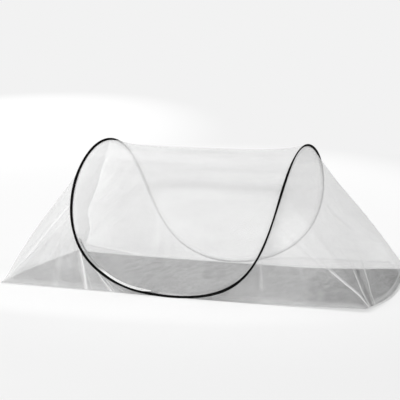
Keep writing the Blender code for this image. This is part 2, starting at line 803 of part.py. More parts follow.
def main():
    for old in list(bpy.data.objects):
        bpy.data.objects.remove(old)
    net = material("white_net", (0.92, 0.93, 0.93), 0.8, alpha=0.45)
    black = material("black_tape", (0.015, 0.015, 0.016), 0.75)
    white = material("white_tape", (0.85, 0.85, 0.84), 0.8)
    grey = material("grey_floor_cloth", (0.24, 0.24, 0.25), 0.85)
    steel = material("steel", (0.55, 0.56, 0.57), 0.35, metallic=1.0)

    floor_solid(grey)
    floor_binding("front_floor_binding", side_line, -1, white)
    floor_binding("rear_floor_binding", side_line, 1, white)
    floor_binding("left_floor_binding", end_line, -1, white)
    floor_binding("right_floor_binding", end_line, 1, white)

    loft("hoop_sleeve", sleeve_sections(), black, ring=True)
    loft("spring_hoop_wire", wire_sections(), steel)
    loft("hoop_ferrule", ferrule_sections(), steel, ring=True)

    give_thickness(add_object("roof_net", *roof_surface(), net), net_cloth)
    for name, side, folds in (("left_end_net", -1, left_fold_shares),
                              ("right_end_net", 1, right_fold_shares)):
        give_thickness(add_object(name, *end_surface(side, folds), net), net_cloth)

    build_zipper(white, steel)
    print("zipper hub", np.round(zip_hub, 6), "axis", np.round(zip_axis, 6),
          "radius", round(zip_radius, 5), "lean", round(math.degrees(zip_lean), 2),
          "travel", round(math.degrees(travel), 2))
    print("hoop length", round(float(np.linalg.norm(
        np.diff(np.vstack([centre, centre[:1]]), axis=0), axis=1).sum()), 4))


main()
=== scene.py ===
import json
import math
from types import SimpleNamespace
import bpy
import numpy as np
from mathutils import Matrix

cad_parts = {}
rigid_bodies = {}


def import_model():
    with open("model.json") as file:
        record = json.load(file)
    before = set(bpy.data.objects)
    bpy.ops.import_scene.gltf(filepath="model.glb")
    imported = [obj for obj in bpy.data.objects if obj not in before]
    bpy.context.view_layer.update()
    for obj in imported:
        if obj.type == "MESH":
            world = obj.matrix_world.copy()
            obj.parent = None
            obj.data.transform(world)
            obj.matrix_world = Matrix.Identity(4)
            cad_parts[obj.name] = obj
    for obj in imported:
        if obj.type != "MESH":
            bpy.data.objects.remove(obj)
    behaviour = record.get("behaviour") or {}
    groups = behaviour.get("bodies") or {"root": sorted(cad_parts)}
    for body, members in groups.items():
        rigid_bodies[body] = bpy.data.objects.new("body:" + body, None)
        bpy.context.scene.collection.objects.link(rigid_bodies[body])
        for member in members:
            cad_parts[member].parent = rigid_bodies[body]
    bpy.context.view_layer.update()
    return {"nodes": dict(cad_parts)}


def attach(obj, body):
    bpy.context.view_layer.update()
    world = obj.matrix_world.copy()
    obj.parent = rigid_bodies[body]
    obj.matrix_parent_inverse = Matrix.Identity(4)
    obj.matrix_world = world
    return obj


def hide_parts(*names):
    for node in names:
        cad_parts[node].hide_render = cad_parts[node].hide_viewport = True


for old in list(bpy.data.objects):
    bpy.data.objects.remove(old)
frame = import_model()
print("frame loaded:", len(frame["nodes"]), "nodes")

# Metres, +Z up. The long side runs along X and the zipped side faces -Y.
gap = 0.0003                      # clearance between pieces that lie against each other
netCloth = 0.0006                 # thickness of the nets


# Shader nodes

class Socket:
    # One output of a node. Python's operators add Math nodes, with numbers on either side.
    def __init__(self, shade, socket):
        self.shade, self.socket = shade, socket

    def math(self, operation, *others):
        return self.shade.math(operation, self, *others)

    def __add__(self, other):
        return self.math("ADD", other)

    def __sub__(self, other):
        return self.math("SUBTRACT", other)

    def __mul__(self, other):
        return self.math("MULTIPLY", other)

    def __truediv__(self, other):
        return self.math("DIVIDE", other)

    def __pow__(self, other):
        return self.math("POWER", other)

    def __rsub__(self, other):
        return self.shade.math("SUBTRACT", other, self)

    def __rtruediv__(self, other):
        return self.shade.math("DIVIDE", other, self)

    def __rpow__(self, other):
        return self.shade.math("POWER", other, self)

    __radd__ = __add__
    __rmul__ = __mul__

    def sine(self):
        return self.math("SINE")

    def size(self):
        return self.math("ABSOLUTE")

    def clamped(self, low=0.0, high=1.0):
        return self.math("MAXIMUM", low).math("MINIMUM", high)


class Shade:
    # The node tree of a new material or of the world, which starts empty
    def __init__(self, name, tree=None):
        if tree is None:
            self.material = bpy.data.materials.new(name)
            self.material.use_nodes = True
            tree = self.material.node_tree
        self.tree = tree
        self.tree.nodes.clear()

    def add(self, kind, settings=(), sockets=(), output=0):
        # Adds one node: its settings first, then a value or a link for each socket
        node = self.tree.nodes.new(kind)
        for key, value in dict(settings).items():
            setattr(node, key, value)
        for key, value in sockets.items() if isinstance(sockets, dict) else enumerate(sockets):
            target = node.inputs[key]
            if isinstance(value, Socket):
                self.tree.links.new(value.socket, target)
            else:
                target.default_value = (*value, 1.0) if target.type == "RGBA" else value
        return Socket(self, node.outputs[output]) if len(node.outputs) else None

    def math(self, operation, *values):
        return self.add("ShaderNodeMath", {"operation": operation}, values)

    def split(self, vector):
        # The three parts of a vector
        node = self.add("ShaderNodeSeparateXYZ", (), (vector,)).socket.node
        return [Socket(self, node.outputs[index]) for index in range(3)]

    def objectPoint(self):
        return self.add("ShaderNodeTexCoord", output="Object")

    def uvPoint(self):
        return self.add("ShaderNodeUVMap", {"uv_map": "pattern"})

    def attribute(self, name):
        return self.add("ShaderNodeAttribute", {"attribute_name": name}, output="Fac")

    def scaled(self, point, factors, turn=0.0):
        return self.add("ShaderNodeMapping", (), {
            "Vector": point, "Rotation": (0.0, 0.0, turn), "Scale": factors})

    def noise(self, point, scale, detail=3.0, roughness=0.55):
        return self.add("ShaderNodeTexNoise", (), {
            "Vector": point, "Scale": scale, "Detail": detail, "Roughness": roughness})

    def mixed(self, share, first, second):
        # A colour between two others, by the Mix node's colour sockets
        return self.add("ShaderNodeMix", {"data_type": "RGBA"}, {0: share, 6: first, 7: second}, 2)

    def bump(self, height, strength, distance):
        return self.add("ShaderNodeBump", (), {
            "Strength": strength, "Distance": distance, "Height": height})

    def seen(self):
        # One for the rays that show the backdrop: the camera's, and those that metal and
        # glass send on
        rays = [self.add("ShaderNodeLightPath", output=name) for name in (
            "Is Camera Ray", "Is Glossy Ray", "Is Transmission Ray")]
        return (rays[0] + rays[1] + rays[2]).clamped()

    def finish(self, **sockets):
        # The Principled shader with these sockets, wired to the output
        named = {key.replace("_", " "): value for key, value in sockets.items()}
        surface = self.add("ShaderNodeBsdfPrincipled", (), named)
        self.add("ShaderNodeOutputMaterial", (), {"Surface": surface})
        return self.material


# Finishes

def grey(level):
    return (level, level, level)


def woven(across, along, acrossPitch, alongPitch):
    # Plain weave: two crossed rows of rounded threads, each over the other in turn
    u, v = across * (math.pi / acrossPitch), along * (math.pi / alongPitch)
    over = (u.sine() * v.sine()) * 0.5 + 0.5
    return u.sine().size() * over + v.sine().size() * (1.0 - over)


knit = {
    "pitch": 0.0022,              # from bar to bar; the rungs lie half as far apart
    "waver": 0.22,                # how far a bar wavers, in pitches
    "bars": (1.6, 0.72),          # sharpness and share in the hole's height
    "rungs": (1.3, 0.28),
    "meanHole": 0.62,
    "openShare": 0.5,             # light that passes one layer
    "grey": 0.81,
    "greyRange": 0.10,
}


def netFinish(name, cloudScale):
    # Knitted net: threads round open holes. One attribute says how many layers lie there, and
    # the other its tone: painted light and shade, with some random streaks.
    shade = Shade(name)
    u, v = shade.split(shade.uvPoint())[:2]
    wave = math.pi / knit["pitch"]
    shift = (v * wave).sine() * (knit["pitch"] * knit["waver"])
    bars = ((u + shift) * wave).sine().size()
    rungs = (v * (2 * wave)).sine().size()
    hole = ((bars * knit["bars"][0]).clamped() * knit["bars"][1]
            + (rungs * knit["rungs"][0]).clamped() * knit["rungs"][1])
    cloud = shade.noise(shade.scaled(shade.objectPoint(), (1.0, 1.0, 1.6)), cloudScale)
    layers = shade.attribute("layers") * (cloud * 0.5 + 0.75)
    # Each layer is two faces, so a face lets the square root of it through
    passed = knit["openShare"] ** (layers * 0.5)
    weave = (hole - knit["meanHole"]) * 0.5
    alpha = ((1.0 - passed) - weave * passed).clamped(0.02, 0.97)
    # The tone attribute paints light and shade into the base colour
    tone = (cloud * knit["greyRange"] + knit["grey"]) * shade.attribute("tone")
    return shade.finish(Base_Color=tone.clamped(0.3, 0.97), Roughness=0.82, Alpha=alpha,
                        Normal=shade.bump(hole, 0.25, 0.0002), Sheen_Weight=0.15)


floorWeave = {
    "pitch": 0.0011,
    # Stretch, turn, scale, detail, roughness, and share in the tone
    "mottle": (((1.4, 0.5, 1.0), 0.0, 7.0, 5.0, 0.62, 0.4),
               ((3.5, 9.0, 1.0), 0.55, 4.0, 4.0, 0.6, 0.3),
               ((1.0, 0.3, 1.0), 0.0, 27.0, 3.0, 0.6, 0.6)),
    "contrast": 5.0,
    "dark": 0.15,
    "pale": 0.37,
    "thread": 0.40,               # lighter tops of the threads, and their share
    "threadShare": 0.3,
    "endFrom": 0.66,              # X from where the right end darkens
    "endFade": 0.2,
    "endDim": 0.25,
    "endGrey": 0.05,
    # A painted crease shadow and a painted crease highlight inside the right end: place, half
    # width and share
    "creaseLightShade": ((0.021, 0.006, 0.6), (0.039, 0.006, 0.5)),
    "creaseLightGrey": 0.62,
}


def floorFinish():
    # Coated woven cloth, greyer and rubbed in patches
    shade = Shade("greyFloorWeave")
    point = shade.objectPoint()
    x, y = shade.split(point)[:2]
    weave = woven(x, y, floorWeave["pitch"], floorWeave["pitch"])
    layers, total, shares = [], 0.0, 0.0
    for stretch, turn, scale, detail, roughness, share in floorWeave["mottle"]:
        layers.append(shade.noise(shade.scaled(point, stretch, turn), scale, detail, roughness))
        total = layers[-1] * share + total
        shares += share
    tone = ((total - shares / 2) * floorWeave["contrast"] + 0.5).clamped()
    colour = shade.mixed(tone, grey(floorWeave["dark"]), grey(floorWeave["pale"]))
    colour = shade.mixed(weave * floorWeave["threadShare"], colour, grey(floorWeave["thread"]))
    # The right end is darker, with a painted crease shadow and crease highlight at even distances
    # from its edge
    side = y / (floorCloth["width"] / 2)
    edge = (1.0 - side * side) * (floorCloth["bow"] + floorCloth["rightBulge"]) + (
        floorCloth["length"] / 2) + side.clamped() ** 2 * floorCloth["cornerReach"]
    dark, pale = [(1.0 - ((edge - x - spot) / half) ** 2).clamped() * share
                  for spot, half, share in floorWeave["creaseLightShade"]]
    dim = ((x - floorWeave["endFrom"]) / floorWeave["endFade"]).clamped() * floorWeave["endDim"]
    # Darker towards the right end, with the painted crease shadow
    colour = shade.mixed(dim + dark, colour, grey(floorWeave["endGrey"]))
    # The painted crease highlight
    colour = shade.mixed(pale, colour, grey(floorWeave["creaseLightGrey"]))
    return shade.finish(Base_Color=colour, Roughness=tone * 0.2 + 0.6,
                        Normal=shade.bump(weave * 0.5 + layers[1] * 1.5, 0.35, 0.0006))


def whiteTapeFinish(name, pitch, pale, glow=0.0, shadedHeights=None):
    # Woven tape with fine ribs across it, and a faint painted glow. Above the first of two
    # heights it darkens to a painted shade, fully so from the second, where the glow stops.
    shade = Shade(name)
    u, v = shade.split(shade.uvPoint())[:2]
    weave = woven(u, v, pitch, pitch * 0.7)
    # Noise for random soiling, and for the edge of the painted shade
    soilAndShade = shade.noise(shade.objectPoint(), 22.0, 4.0)
    colour, shine = shade.mixed(soilAndShade, grey(pale), grey(pale - 0.06)), grey(1.0)
    if shadedHeights:
        # Painted shade over the upper part
        height = shade.split(shade.objectPoint())[2]
        share = ((height - shadedHeights[0]) / (shadedHeights[1] - shadedHeights[0]) + soilAndShade * 0.4 - 0.2).clamped()
        colour = shade.mixed(share, colour, grey(0.5))
        shine = shade.mixed(share, shine, grey(0.0))
    return shade.finish(Base_Color=colour, Roughness=0.8, Sheen_Weight=0.1,
                        Normal=shade.bump(weave, 0.5, 0.00015),
                        Emission_Color=shine, Emission_Strength=glow)


def blackTapeFinish():
    # Black grosgrain: ribs across the tape, a little worn grey on their tops
    shade = Shade("blackSleeveTape")
    u, v = shade.split(shade.uvPoint())[:2]
    weave = woven(u, v, 0.0010, 0.0006)
    wear = shade.noise(shade.objectPoint(), 60.0, 4.0)
    return shade.finish(Base_Color=shade.mixed((weave * wear).clamped(), grey(0.002), grey(0.008)),
                        Roughness=wear * 0.1 + 0.85, Normal=shade.bump(weave, 0.6, 0.0002),
                        Specular_IOR_Level=0.06)


def threadFinish(name, level):
    # Twisted sewing thread, a little fluffy
    shade = Shade(name)
    x, y, z = shade.split(shade.objectPoint())
    twist = ((x + y + z) * 9000.0).sine() * 0.5 + 0.5
    fluff = shade.noise(shade.objectPoint(), 900.0, 2.0)
    colour = shade.mixed(fluff, grey(level), grey(min(1.0, level * 1.25 + 0.01)))
    return shade.finish(Base_Color=colour, Roughness=0.7, Normal=shade.bump(twist, 0.4, 0.0001))


def coilFinish():
    # Smooth nylon coil, with painted shade above as its tapes have
    shade = Shade("whiteNylonCoil")
    cloud = shade.noise(shade.objectPoint(), 300.0)
    low, high = zipper["shadedHeights"]
    share = ((shade.split(shade.objectPoint())[2] - low) / (high - low)).clamped()
    colour = shade.mixed(cloud, grey(0.84), grey(0.90))
    # Painted shade above the lower height
    return shade.finish(Base_Color=shade.mixed(share, colour, grey(0.48)),
                        Roughness=cloud * 0.1 + 0.35)


def metalFinish(name, colour, rough, scale):
    # Plated metal with fine brushed streaks and rubbed spots
    shade = Shade(name)
    point = shade.objectPoint()
    streaks = shade.noise(shade.scaled(point, (1.0, 1.0, 6.0)), scale, 4.0)
    spots = shade.noise(point, scale * 0.2)
    dark = tuple(part * 0.8 for part in colour)
    return shade.finish(Base_Color=shade.mixed(spots, dark, colour), Metallic=1.0,
                        Roughness=streaks * 0.2 + rough,
                        Normal=shade.bump(streaks, 0.15, 0.0001))


# Meshes

def unit(vectors):
    return vectors / np.linalg.norm(vectors, axis=-1, keepdims=True)


def smoothStep(values):
    # Three squares less two cubes of a share held between 0 and 1
    share = np.clip(values, 0, 1)
    return share * share * (3 - 2 * share)


def between(values, low, high, fade):
    # One between two limits, with a smooth step inside each
    return smoothStep((values - low) / fade) * smoothStep((high - values) / fade)


def waviness(points, scale, seed, octaves=3):
    # Smooth noise about -1 to 1: sums of sines along seeded directions
    draw = np.random.default_rng(seed)
    total, weight = np.zeros(points.shape[:-1]), 0.0
    for octave in range(octaves):
        for wave in range(5):
            way = unit(draw.normal(size=points.shape[-1])) * scale * 2.0 ** octave
            total += np.sin(points @ way + draw.uniform(0, 2 * math.pi)) / 1.8 ** octave
            weight += 0.5 / 1.8 ** octave
    return total / weight


def lineLengths(points):
    # Length of a line of points, from its first one to each
    return np.concatenate([[0], np.cumsum(np.linalg.norm(np.diff(points, axis=0), axis=1))])


def addMesh(name, points, faces, finish, uv=None, values=None, smooth=True):
    # Puts points and groups of faces in a mesh. uv has one pair for each corner of each face,
    # and values holds named numbers for the points.
    mesh = bpy.data.meshes.new(name)
    points = np.asarray(points, float).reshape(-1, 3)
    corners = np.concatenate([group.ravel() for group in faces])
    sizes = np.concatenate([np.full(len(group), group.shape[1]) for group in faces])
    mesh.vertices.add(len(points))
    mesh.vertices.foreach_set("co", points.ravel())
    mesh.loops.add(len(corners))
    mesh.loops.foreach_set("vertex_index", corners)
    mesh.polygons.add(len(sizes))
    mesh.polygons.foreach_set("loop_start", np.concatenate([[0], np.cumsum(sizes)[:-1]]))
    mesh.polygons.foreach_set("loop_total", sizes)
    mesh.update(calc_edges=True)
    if uv is not None:
        mesh.uv_layers.new(name="pattern")
        mesh.uv_layers["pattern"].data.foreach_set("uv", np.asarray(uv, float).ravel())
    for key, numbers in (values or {}).items():
        mesh.attributes.new(key, "FLOAT", "POINT")
        mesh.attributes[key].data.foreach_set("value", np.asarray(numbers, float).ravel())
    mesh.validate()
    if smooth:
        mesh.shade_smooth()
        mesh.set_sharp_from_angle(angle=math.radians(50))
    piece = bpy.data.objects.new(name, mesh)
    bpy.context.scene.collection.objects.link(piece)
    mesh.materials.append(finish)
    return piece


def solidCloth(piece, thickness):
    # Gives a sheet its thickness, half to each side
    wall = piece.modifiers.new("cloth", "SOLIDIFY")
    wall.thickness = thickness
    wall.offset = 0.0
    wall.use_even_offset = False
    wall.use_rim = True
    return piece


def gridCells(rows, columns, wrapRows=False, wrapColumns=False):
    # Corner numbers of a grid's cells, and the same without the wrap, for the pattern
    row, column = np.meshgrid(np.arange(rows - (not wrapRows)),
                              np.arange(columns - (not wrapColumns)), indexing="ij")
    row, column = row.ravel(), column.ravel()
    corners = [(row, column), (row, column + 1), (row + 1, column + 1), (row + 1, column)]
    faces = np.stack([(r % rows) * columns + c % columns for r, c in corners], axis=1)
    wide = columns + wrapColumns
    return faces, np.stack([r * wide + c for r, c in corners], axis=1)


def insideOut(points, faces):
    # True where the closed shape that the faces make has them turned inwards
    points = points.reshape(-1, 3)
    a, b, c, d = (points[faces[:, corner]] for corner in range(4))
    return (np.cross(a, b) * c).sum() + (np.cross(a, c) * d).sum() < 0


def addTube(name, sections, finish, ring=False):
    # A closed section carried along a path: sections is (steps, points round, 3)
    steps, count = sections.shape[:2]
    faces, spots = gridCells(steps, count, wrapRows=ring, wrapColumns=True)
    path = sections.mean(axis=1)
    along = lineLengths(np.vstack([path, path[:1]]) if ring else path)
    around = lineLengths(np.vstack([sections[0], sections[0][:1]]))
    u, v = np.meshgrid(along, around, indexing="ij")
    uv = np.stack([u.ravel()[spots], v.ravel()[spots]], axis=-1)
    order = -1
    if insideOut(sections, faces):
        faces, uv, order = faces[:, ::-1], uv[:, ::-1], 1
    groups, uvs = [faces], [uv.reshape(-1, 2)]
    if not ring:
        cap = np.arange(count)[None]
        groups += [cap[:, ::order], (steps - 1) * count + cap[:, ::-order]]
        uvs.append(np.zeros((2 * count, 2)))
    return addMesh(name, sections, groups, finish, np.concatenate(uvs))


def roundSections(middle, first, second, radii, sides):
    # A circle of points round each place of a line, in the plane of two ways
    turn = np.arange(sides) * (2 * math.pi / sides)
    return middle[:, None] + np.reshape(radii, (-1, 1, 1)) * (
        first[:, None] * np.cos(turn)[None, :, None]
        + second[:, None] * np.sin(turn)[None, :, None])


def tapeSection(path, thickness):
    # A strip of cloth seen end on: the path of its middle, offset to both sides
    ahead = unit(np.gradient(path, axis=0))
    beside = np.stack([-ahead[:, 1], ahead[:, 0]], axis=1) * (thickness / 2)
    return np.concatenate([path + beside, (path - beside)[::-1]])


def arcPoints(middle, radius, start, end, count):
    # Even steps along an arc
    turn = np.linspace(start, end, count)
    return np.stack([middle[0] + radius * np.cos(turn), middle[1] + radius * np.sin(turn)],
                    axis=1)


thread = {
    "radius": 0.00024,
    "stitch": 0.0024,
    "pitch": 0.0034,
    "sides": 5,
    "lengths": (-1.0, -0.8, 0.0, 0.8, 1.0),         # places along half a stitch
    "widths": (0.35, 0.85, 1.0, 0.85, 0.35),        # and the shares of the radius there
}


def stitchRow(line, backs, ways=None):
    # Even places along a line of points, each stitch's way, and the way that its back faces
    steps = lineLengths(line)
    count = int(steps[-1] / thread["pitch"])
    spots = (np.arange(count) + 0.5) * (steps[-1] / count)
    ways = np.gradient(line, axis=0) if ways is None else ways
    places, ways, backs = (
        np.stack([np.interp(spots, steps, values[:, axis]) for axis in range(3)], axis=1)
        for values in (line, ways, backs))
    return places, unit(ways), unit(backs)


def addStitches(name, rows, finish):
    # Short threads: a tapered bar of five rings at each place
    places, ways, backs = map(np.concatenate, zip(*rows))
    sides = thread["sides"]
    lengths = np.array(thread["lengths"]) * (thread["stitch"] / 2)
    widths = np.array(thread["widths"]) * thread["radius"]
    turn = np.arange(sides) * (2 * math.pi / sides)
    ring = (np.cos(turn)[None, :, None] * backs[:, None, :]
            + np.sin(turn)[None, :, None] * np.cross(ways, backs)[:, None, :])
    points = (places[:, None, None, :] + ways[:, None, None, :] * lengths[None, :, None, None]
              + ring[:, None] * widths[None, :, None, None])
    each = gridCells(len(lengths), sides, wrapColumns=True)[0]
    step = len(lengths) * sides
    offsets = np.arange(len(places))[:, None] * step
    order = 1 if insideOut(points[0], each) else -1
    walls = (each[None] + offsets[..., None]).reshape(-1, 4)[:, ::-order]
    cap = np.arange(sides)
    caps = np.concatenate([cap[::order] + offsets, cap[::-order] + offsets + step - sides])
    return addMesh(name, points, [walls, caps], finish)


# Floor and bindings

floorCloth = {
    "length": 2.0,
    "width": 0.93,
    "bow": 0.038,
    "cloth": 0.0012,
    "step": 0.008,                # over which it rises into the binding
    "stepRows": (0.33, 0.66, 1.0),
    "rows": 118,
    "columns": 236,
    "wrinkle": 0.0028,
    "ridgeShare": 0.75,           # of the wrinkles' height; slow waves have the rest
    "ridgeBend": 0.05,            # how far noise moves the ridges
    "calmEdge": 0.07,             # where the wrinkles fade towards the binding
    "cornerLift": 0.038,          # how far the nets draw the rear right corner up
    "cornerReach": 0.048,         # and how far they draw it out along X
    "rightBulge": 0.022,          # how much further the right end bows out
    "liftShares": ((0.1, 0.4), (0.25, 1.0)),    # left and right: at the front, at the rear
    "calmShare": 0.35,            # share of the half length where the floor lies flat
}
binding = {
    "width": 0.014,
    "tape": 0.0008,
    "sections": 260,
    "stitchInset": 0.0115,
    "ripple": 0.00035,
}
clothLift = binding["tape"] + gap
bindingHeight = clothLift + floorCloth["cloth"] + gap + binding["tape"]


def endReach(y):
    # X of an end's edge: half the length, and a parabola over the width
    halfWidth = floorCloth["width"] / 2
    return floorCloth["length"] / 2 + floorCloth["bow"] * (1 - (y / halfWidth) ** 2)


def drawCorners(points):
    # Where points of the flat floor lie once the nets have drawn its corners up: each corner's
    # lift grows with the square of both shares of the way to it
    x, y, z = points[..., 0], points[..., 1], points[..., 2]
    calm = floorCloth["calmShare"]
    run = np.maximum(np.abs(x) / (floorCloth["length"] / 2) - calm, 0) / (1 - calm)
    side = y / (floorCloth["width"] / 2)
    front, rear = (np.where(x > 0, shares[1], shares[0]) for shares in floorCloth["liftShares"])
    share = (front * (1 - side) + rear * (1 + side)) / 2
    out = (floorCloth["cornerReach"] * (run * np.maximum(side, 0)) ** 2
           + floorCloth["rightBulge"] * run ** 2 * np.maximum(1 - side ** 2, 0)) * (x > 0)
    return np.stack([x + out, y, z + floorCloth["cornerLift"] * share * (run * side) ** 2],
                    axis=-1)


def makeFloor(finish):
    # A sheet on a grid of shares of its width and length. Its height is half its thickness, plus
    # a smooth step up into the binding, plus wrinkles: squared ridges of bent noise, slow waves.
    halfWidth, step = floorCloth["width"] / 2, floorCloth["step"]
    inner = binding["width"] + gap
    border = np.array((clothLift, inner * 0.5, inner,
                       *[inner + step * share for share in floorCloth["stepRows"]]))
    middleY = np.linspace(-1, 1, floorCloth["rows"])[1:-1] * (halfWidth - border[-1])
    y = np.concatenate([-(halfWidth - border), middleY, (halfWidth - border)[::-1]])
    reach = endReach(y)[:, None]
    middleX = np.linspace(-1, 1, floorCloth["columns"])[1:-1][None] * (reach - border[-1])
    x = np.concatenate([-(reach - border), middleX, (reach - border)[:, ::-1]], axis=1)
    y = np.repeat(y[:, None], x.shape[1], axis=1)
    away = np.minimum(halfWidth - np.abs(y), reach - np.abs(x))
    lift = clothLift * (1 - smoothStep((away - inner) / step))
    flat = np.stack([x, y], axis=-1)
    bend = flat + floorCloth["ridgeBend"] * np.stack(
        [waviness(flat, 5.0, seed) for seed in (31, 32)], axis=-1)
    ridges = 1 - np.abs(waviness(bend * np.array((0.6, 1.3)), 9.0, 33, 2))
    slow = waviness(flat, 4.0, 34)
    ridgeShare = floorCloth["ridgeShare"]
    wrinkle = floorCloth["wrinkle"] * (ridgeShare * np.clip(ridges, 0, 1) ** 2
                                       + (1 - ridgeShare) * (slow + 1))
    calm = smoothStep((away - inner - step) / floorCloth["calmEdge"])
    z = floorCloth["cloth"] / 2 + lift + np.maximum(wrinkle, 0) * calm
    points = drawCorners(np.stack([x, y, z], axis=-1))
    faces, spots = gridCells(*x.shape)
    piece = addMesh("floorCloth", points, [faces], finish, flat.reshape(-1, 2)[spots])
    return solidCloth(piece, floorCloth["cloth"]), points.reshape(-1, 3), faces


def bindingProfile():
    # Middle of the tape folded round the floor's edge, as inset and height
    half = binding["tape"] / 2
    radius = (bindingHeight - binding["tape"]) / 2
    top = bindingHeight - half
    outer = arcPoints((half + radius, half + radius), radius, 1.5 * math.pi, 0.5 * math.pi, 11)
    low = np.linspace((binding["width"], half), (half + radius, half), 5)[:-1]
    high = np.linspace((half + radius, top), (binding["width"], top), 5)[1:]
    return tapeSection(np.concatenate([low, outer, high]), binding["tape"])


def makeBinding(name, longEdge, face, finish):
    # The profile carried along one edge of the floor. Each point of it ends short of the corner
    # by its own inset, so that the strips meet in mitres, and the upper flap ripples.
    inset, height = bindingProfile().T[:, None]
    if longEdge:
        share = np.linspace(-1, 1, binding["sections"])[:, None]
        y = floorCloth["width"] / 2 - inset
        x = share * (endReach(y) - inset - gap)
        ripple = np.sin(x * 31.0) * np.sin(x * 7.3 + face)
        y = y * face
    else:
        share = np.linspace(-1, 1, binding["sections"] // 2)[:, None]
        y = (floorCloth["width"] / 2 - inset - gap) * share
        x = face * (endReach(y) - inset)
        ripple = np.sin(y * 33.0)
    z = np.maximum(height + binding["ripple"] * ripple * (height > bindingHeight / 2), 0)
    return addTube(name, drawCorners(np.stack(np.broadcast_arrays(x, y, z), axis=-1)), finish)


def makeBindingStitches(finish):
    # One row near the inner edge of each strip
    inset = binding["stitchInset"]
    y = floorCloth["width"] / 2 - inset
    long = np.linspace(-(endReach(y) - inset * 2), endReach(y) - inset * 2, 400)
    short = np.linspace(-(y - inset), y - inset, 200)
    lines = [(long, face * y) for face in (-1, 1)]
    lines += [(face * (endReach(short) - inset), short) for face in (-1, 1)]
    rows = []
    for alongX, alongY in lines:
        line = np.stack(np.broadcast_arrays(alongX, alongY, bindingHeight), axis=1)
        rows.append(stitchRow(drawCorners(line), np.broadcast_to((0.0, 0.0, 1.0), line.shape)))
    return addStitches("bindingStitches", rows, finish)


# Hoop: a closed saddle curve of harmonics of one turn, in its sleeve

hoop = {
    "halfSpan": 0.57,
    "halfDepth": 0.481,
    "height": 0.755,
    "spanShare": -0.13,           # third harmonic, which squares the arches' sides
    "depthShare": 0.311,          # third harmonic, which bulges the limbs
    "heightShare": 0.0454,        # fourth harmonic, which flattens the low points
    "quarter": 17,                # stations from a low point to a crown
}
wire = {
    "diameter": 0.004,
    "endGap": 0.001,
    "steps": 681,
    "ferruleWall": 0.0008,
    "ferruleLength": 0.03,
    "crimpDepth": 0.00025,
    "crimpWidth": 0.16,           # of its share of the ferrule
    "crimps": 3,
}
sleeve = {
    "tape": 0.001,
    "reach": 0.009,               # from the wire's middle to the mouth
    "seat": 0.0055,               # from the wire's middle to a net's edge in the slot
    "slack": 0.03,                # how unevenly the bead swells
    # Bead's size by station, left of the front low point counted as plus
    "swells": ((-34, 1), (-33, 1), (-31.5, 0.7), (-22, 0.7), (-20, 1), (-18.5, 0.8), (-15, 0.8),
               (-14.2, 1.12), (-13.2, 1.35), (-12.3, 1.45), (-11.3, 1.3), (-10.4, 1.02),
               (-9.4, 1.0), (-8.5, 1.2), (-7.6, 1.12), (-6.6, 1.25), (-5.7, 1.45), (-4.7, 1.68),
               (-3.8, 1.7), (-2.8, 1.28), (-1.9, 1.0), (-0.9, 0.8), (0, 0.78), (1, 0.95),
               (1.5, 1.2), (2.8, 1.7), (3.8, 1.65), (4.7, 1.33), (5.7, 1.08), (7.6, 1.1),
               (8.5, 1.0), (10, 1.15), (12.3, 1.28), (13.2, 0.98), (14.2, 0.92), (16, 1.0),
               (19, 1.0), (21.5, 0.7), (31.5, 0.7), (33, 1), (34, 1)),
    "rearReach": 0.74,            # share of the reach that the flaps keep behind the crowns
    "rearFrom": 19,               # station from which they narrow, and over how many
    "rearFade": 2.5,
    "stitchBack": 0.0016,         # from the mouth to the row of stitches
    "finePerStation": 10,
}
stationCount = 4 * hoop["quarter"]
wireRadius = wire["diameter"] / 2
ferruleBore = wireRadius + gap
ferruleRadius = ferruleBore + wire["ferruleWall"]
boreRadius = ferruleRadius + gap
sleeveRadius = boreRadius + sleeve["tape"]
hoopLow = sleeveRadius + gap
netLane = (gap + netCloth) / 2    # from the slot's middle to each net's
slotHalf = netLane + netCloth / 2 + gap


def hoopLine(turn):
    # X and Y are first and third harmonics of the turn, and Z a second and a fourth
    x = hoop["halfSpan"] * ((1 - hoop["spanShare"]) * np.cos(turn)
                            + hoop["spanShare"] * np.cos(3 * turn))
    y = hoop["halfDepth"] * ((1 + hoop["depthShare"]) * np.sin(turn)
                             + hoop["depthShare"] * np.sin(3 * turn))
    rise = (1 + np.cos(2 * turn)) / 2 + hoop["heightShare"] * (np.cos(4 * turn) - 1)
    return np.stack([x, y, hoopLow + (hoop["height"] - hoopLow) * rise], axis=-1)


def hoopFrames(turn):
    # Wire's middle, its direction, and the ways to the roof, the mouth, across and out
    middle = hoopLine(turn)
    step = 1e-5
    along = unit(hoopLine(turn + step) - hoopLine(turn - step))
    rise = hoop["height"] - hoopLow
    tangent = unit(np.stack([
        np.zeros_like(turn),
        hoop["halfDepth"] * (1 + hoop["depthShare"]
                             + 3 * hoop["depthShare"] * (4 * np.cos(turn) ** 2 - 3)),
        -2 * rise * np.sin(turn) * (1 + 8 * hoop["heightShare"] * np.cos(2 * turn))], axis=-1))
    outward = np.cross(np.array([1.0, 0.0, 0.0]), tangent)
    toRoof = unit(np.cross(outward, along))
    foot = np.stack([(floorCloth["length"] / 2 + floorCloth["bow"]) * np.cos(turn),
                     floorCloth["width"] / 2 * np.sin(turn), np.zeros_like(turn)], axis=-1)
    toEnd = foot - middle
    toEnd = unit(toEnd - (toEnd * along).sum(-1, keepdims=True) * along)
    toMouth = unit(toRoof + toEnd)
    return SimpleNamespace(middle=middle, along=along, toRoof=toRoof, toMouth=toMouth,
                           across=np.cross(along, toMouth), outward=outward)


def stationTurn(station):
    # The hoop's turn at a station, counted from the front low point
    return -math.pi / 2 + np.asarray(station, float) * (2 * math.pi / stationCount)


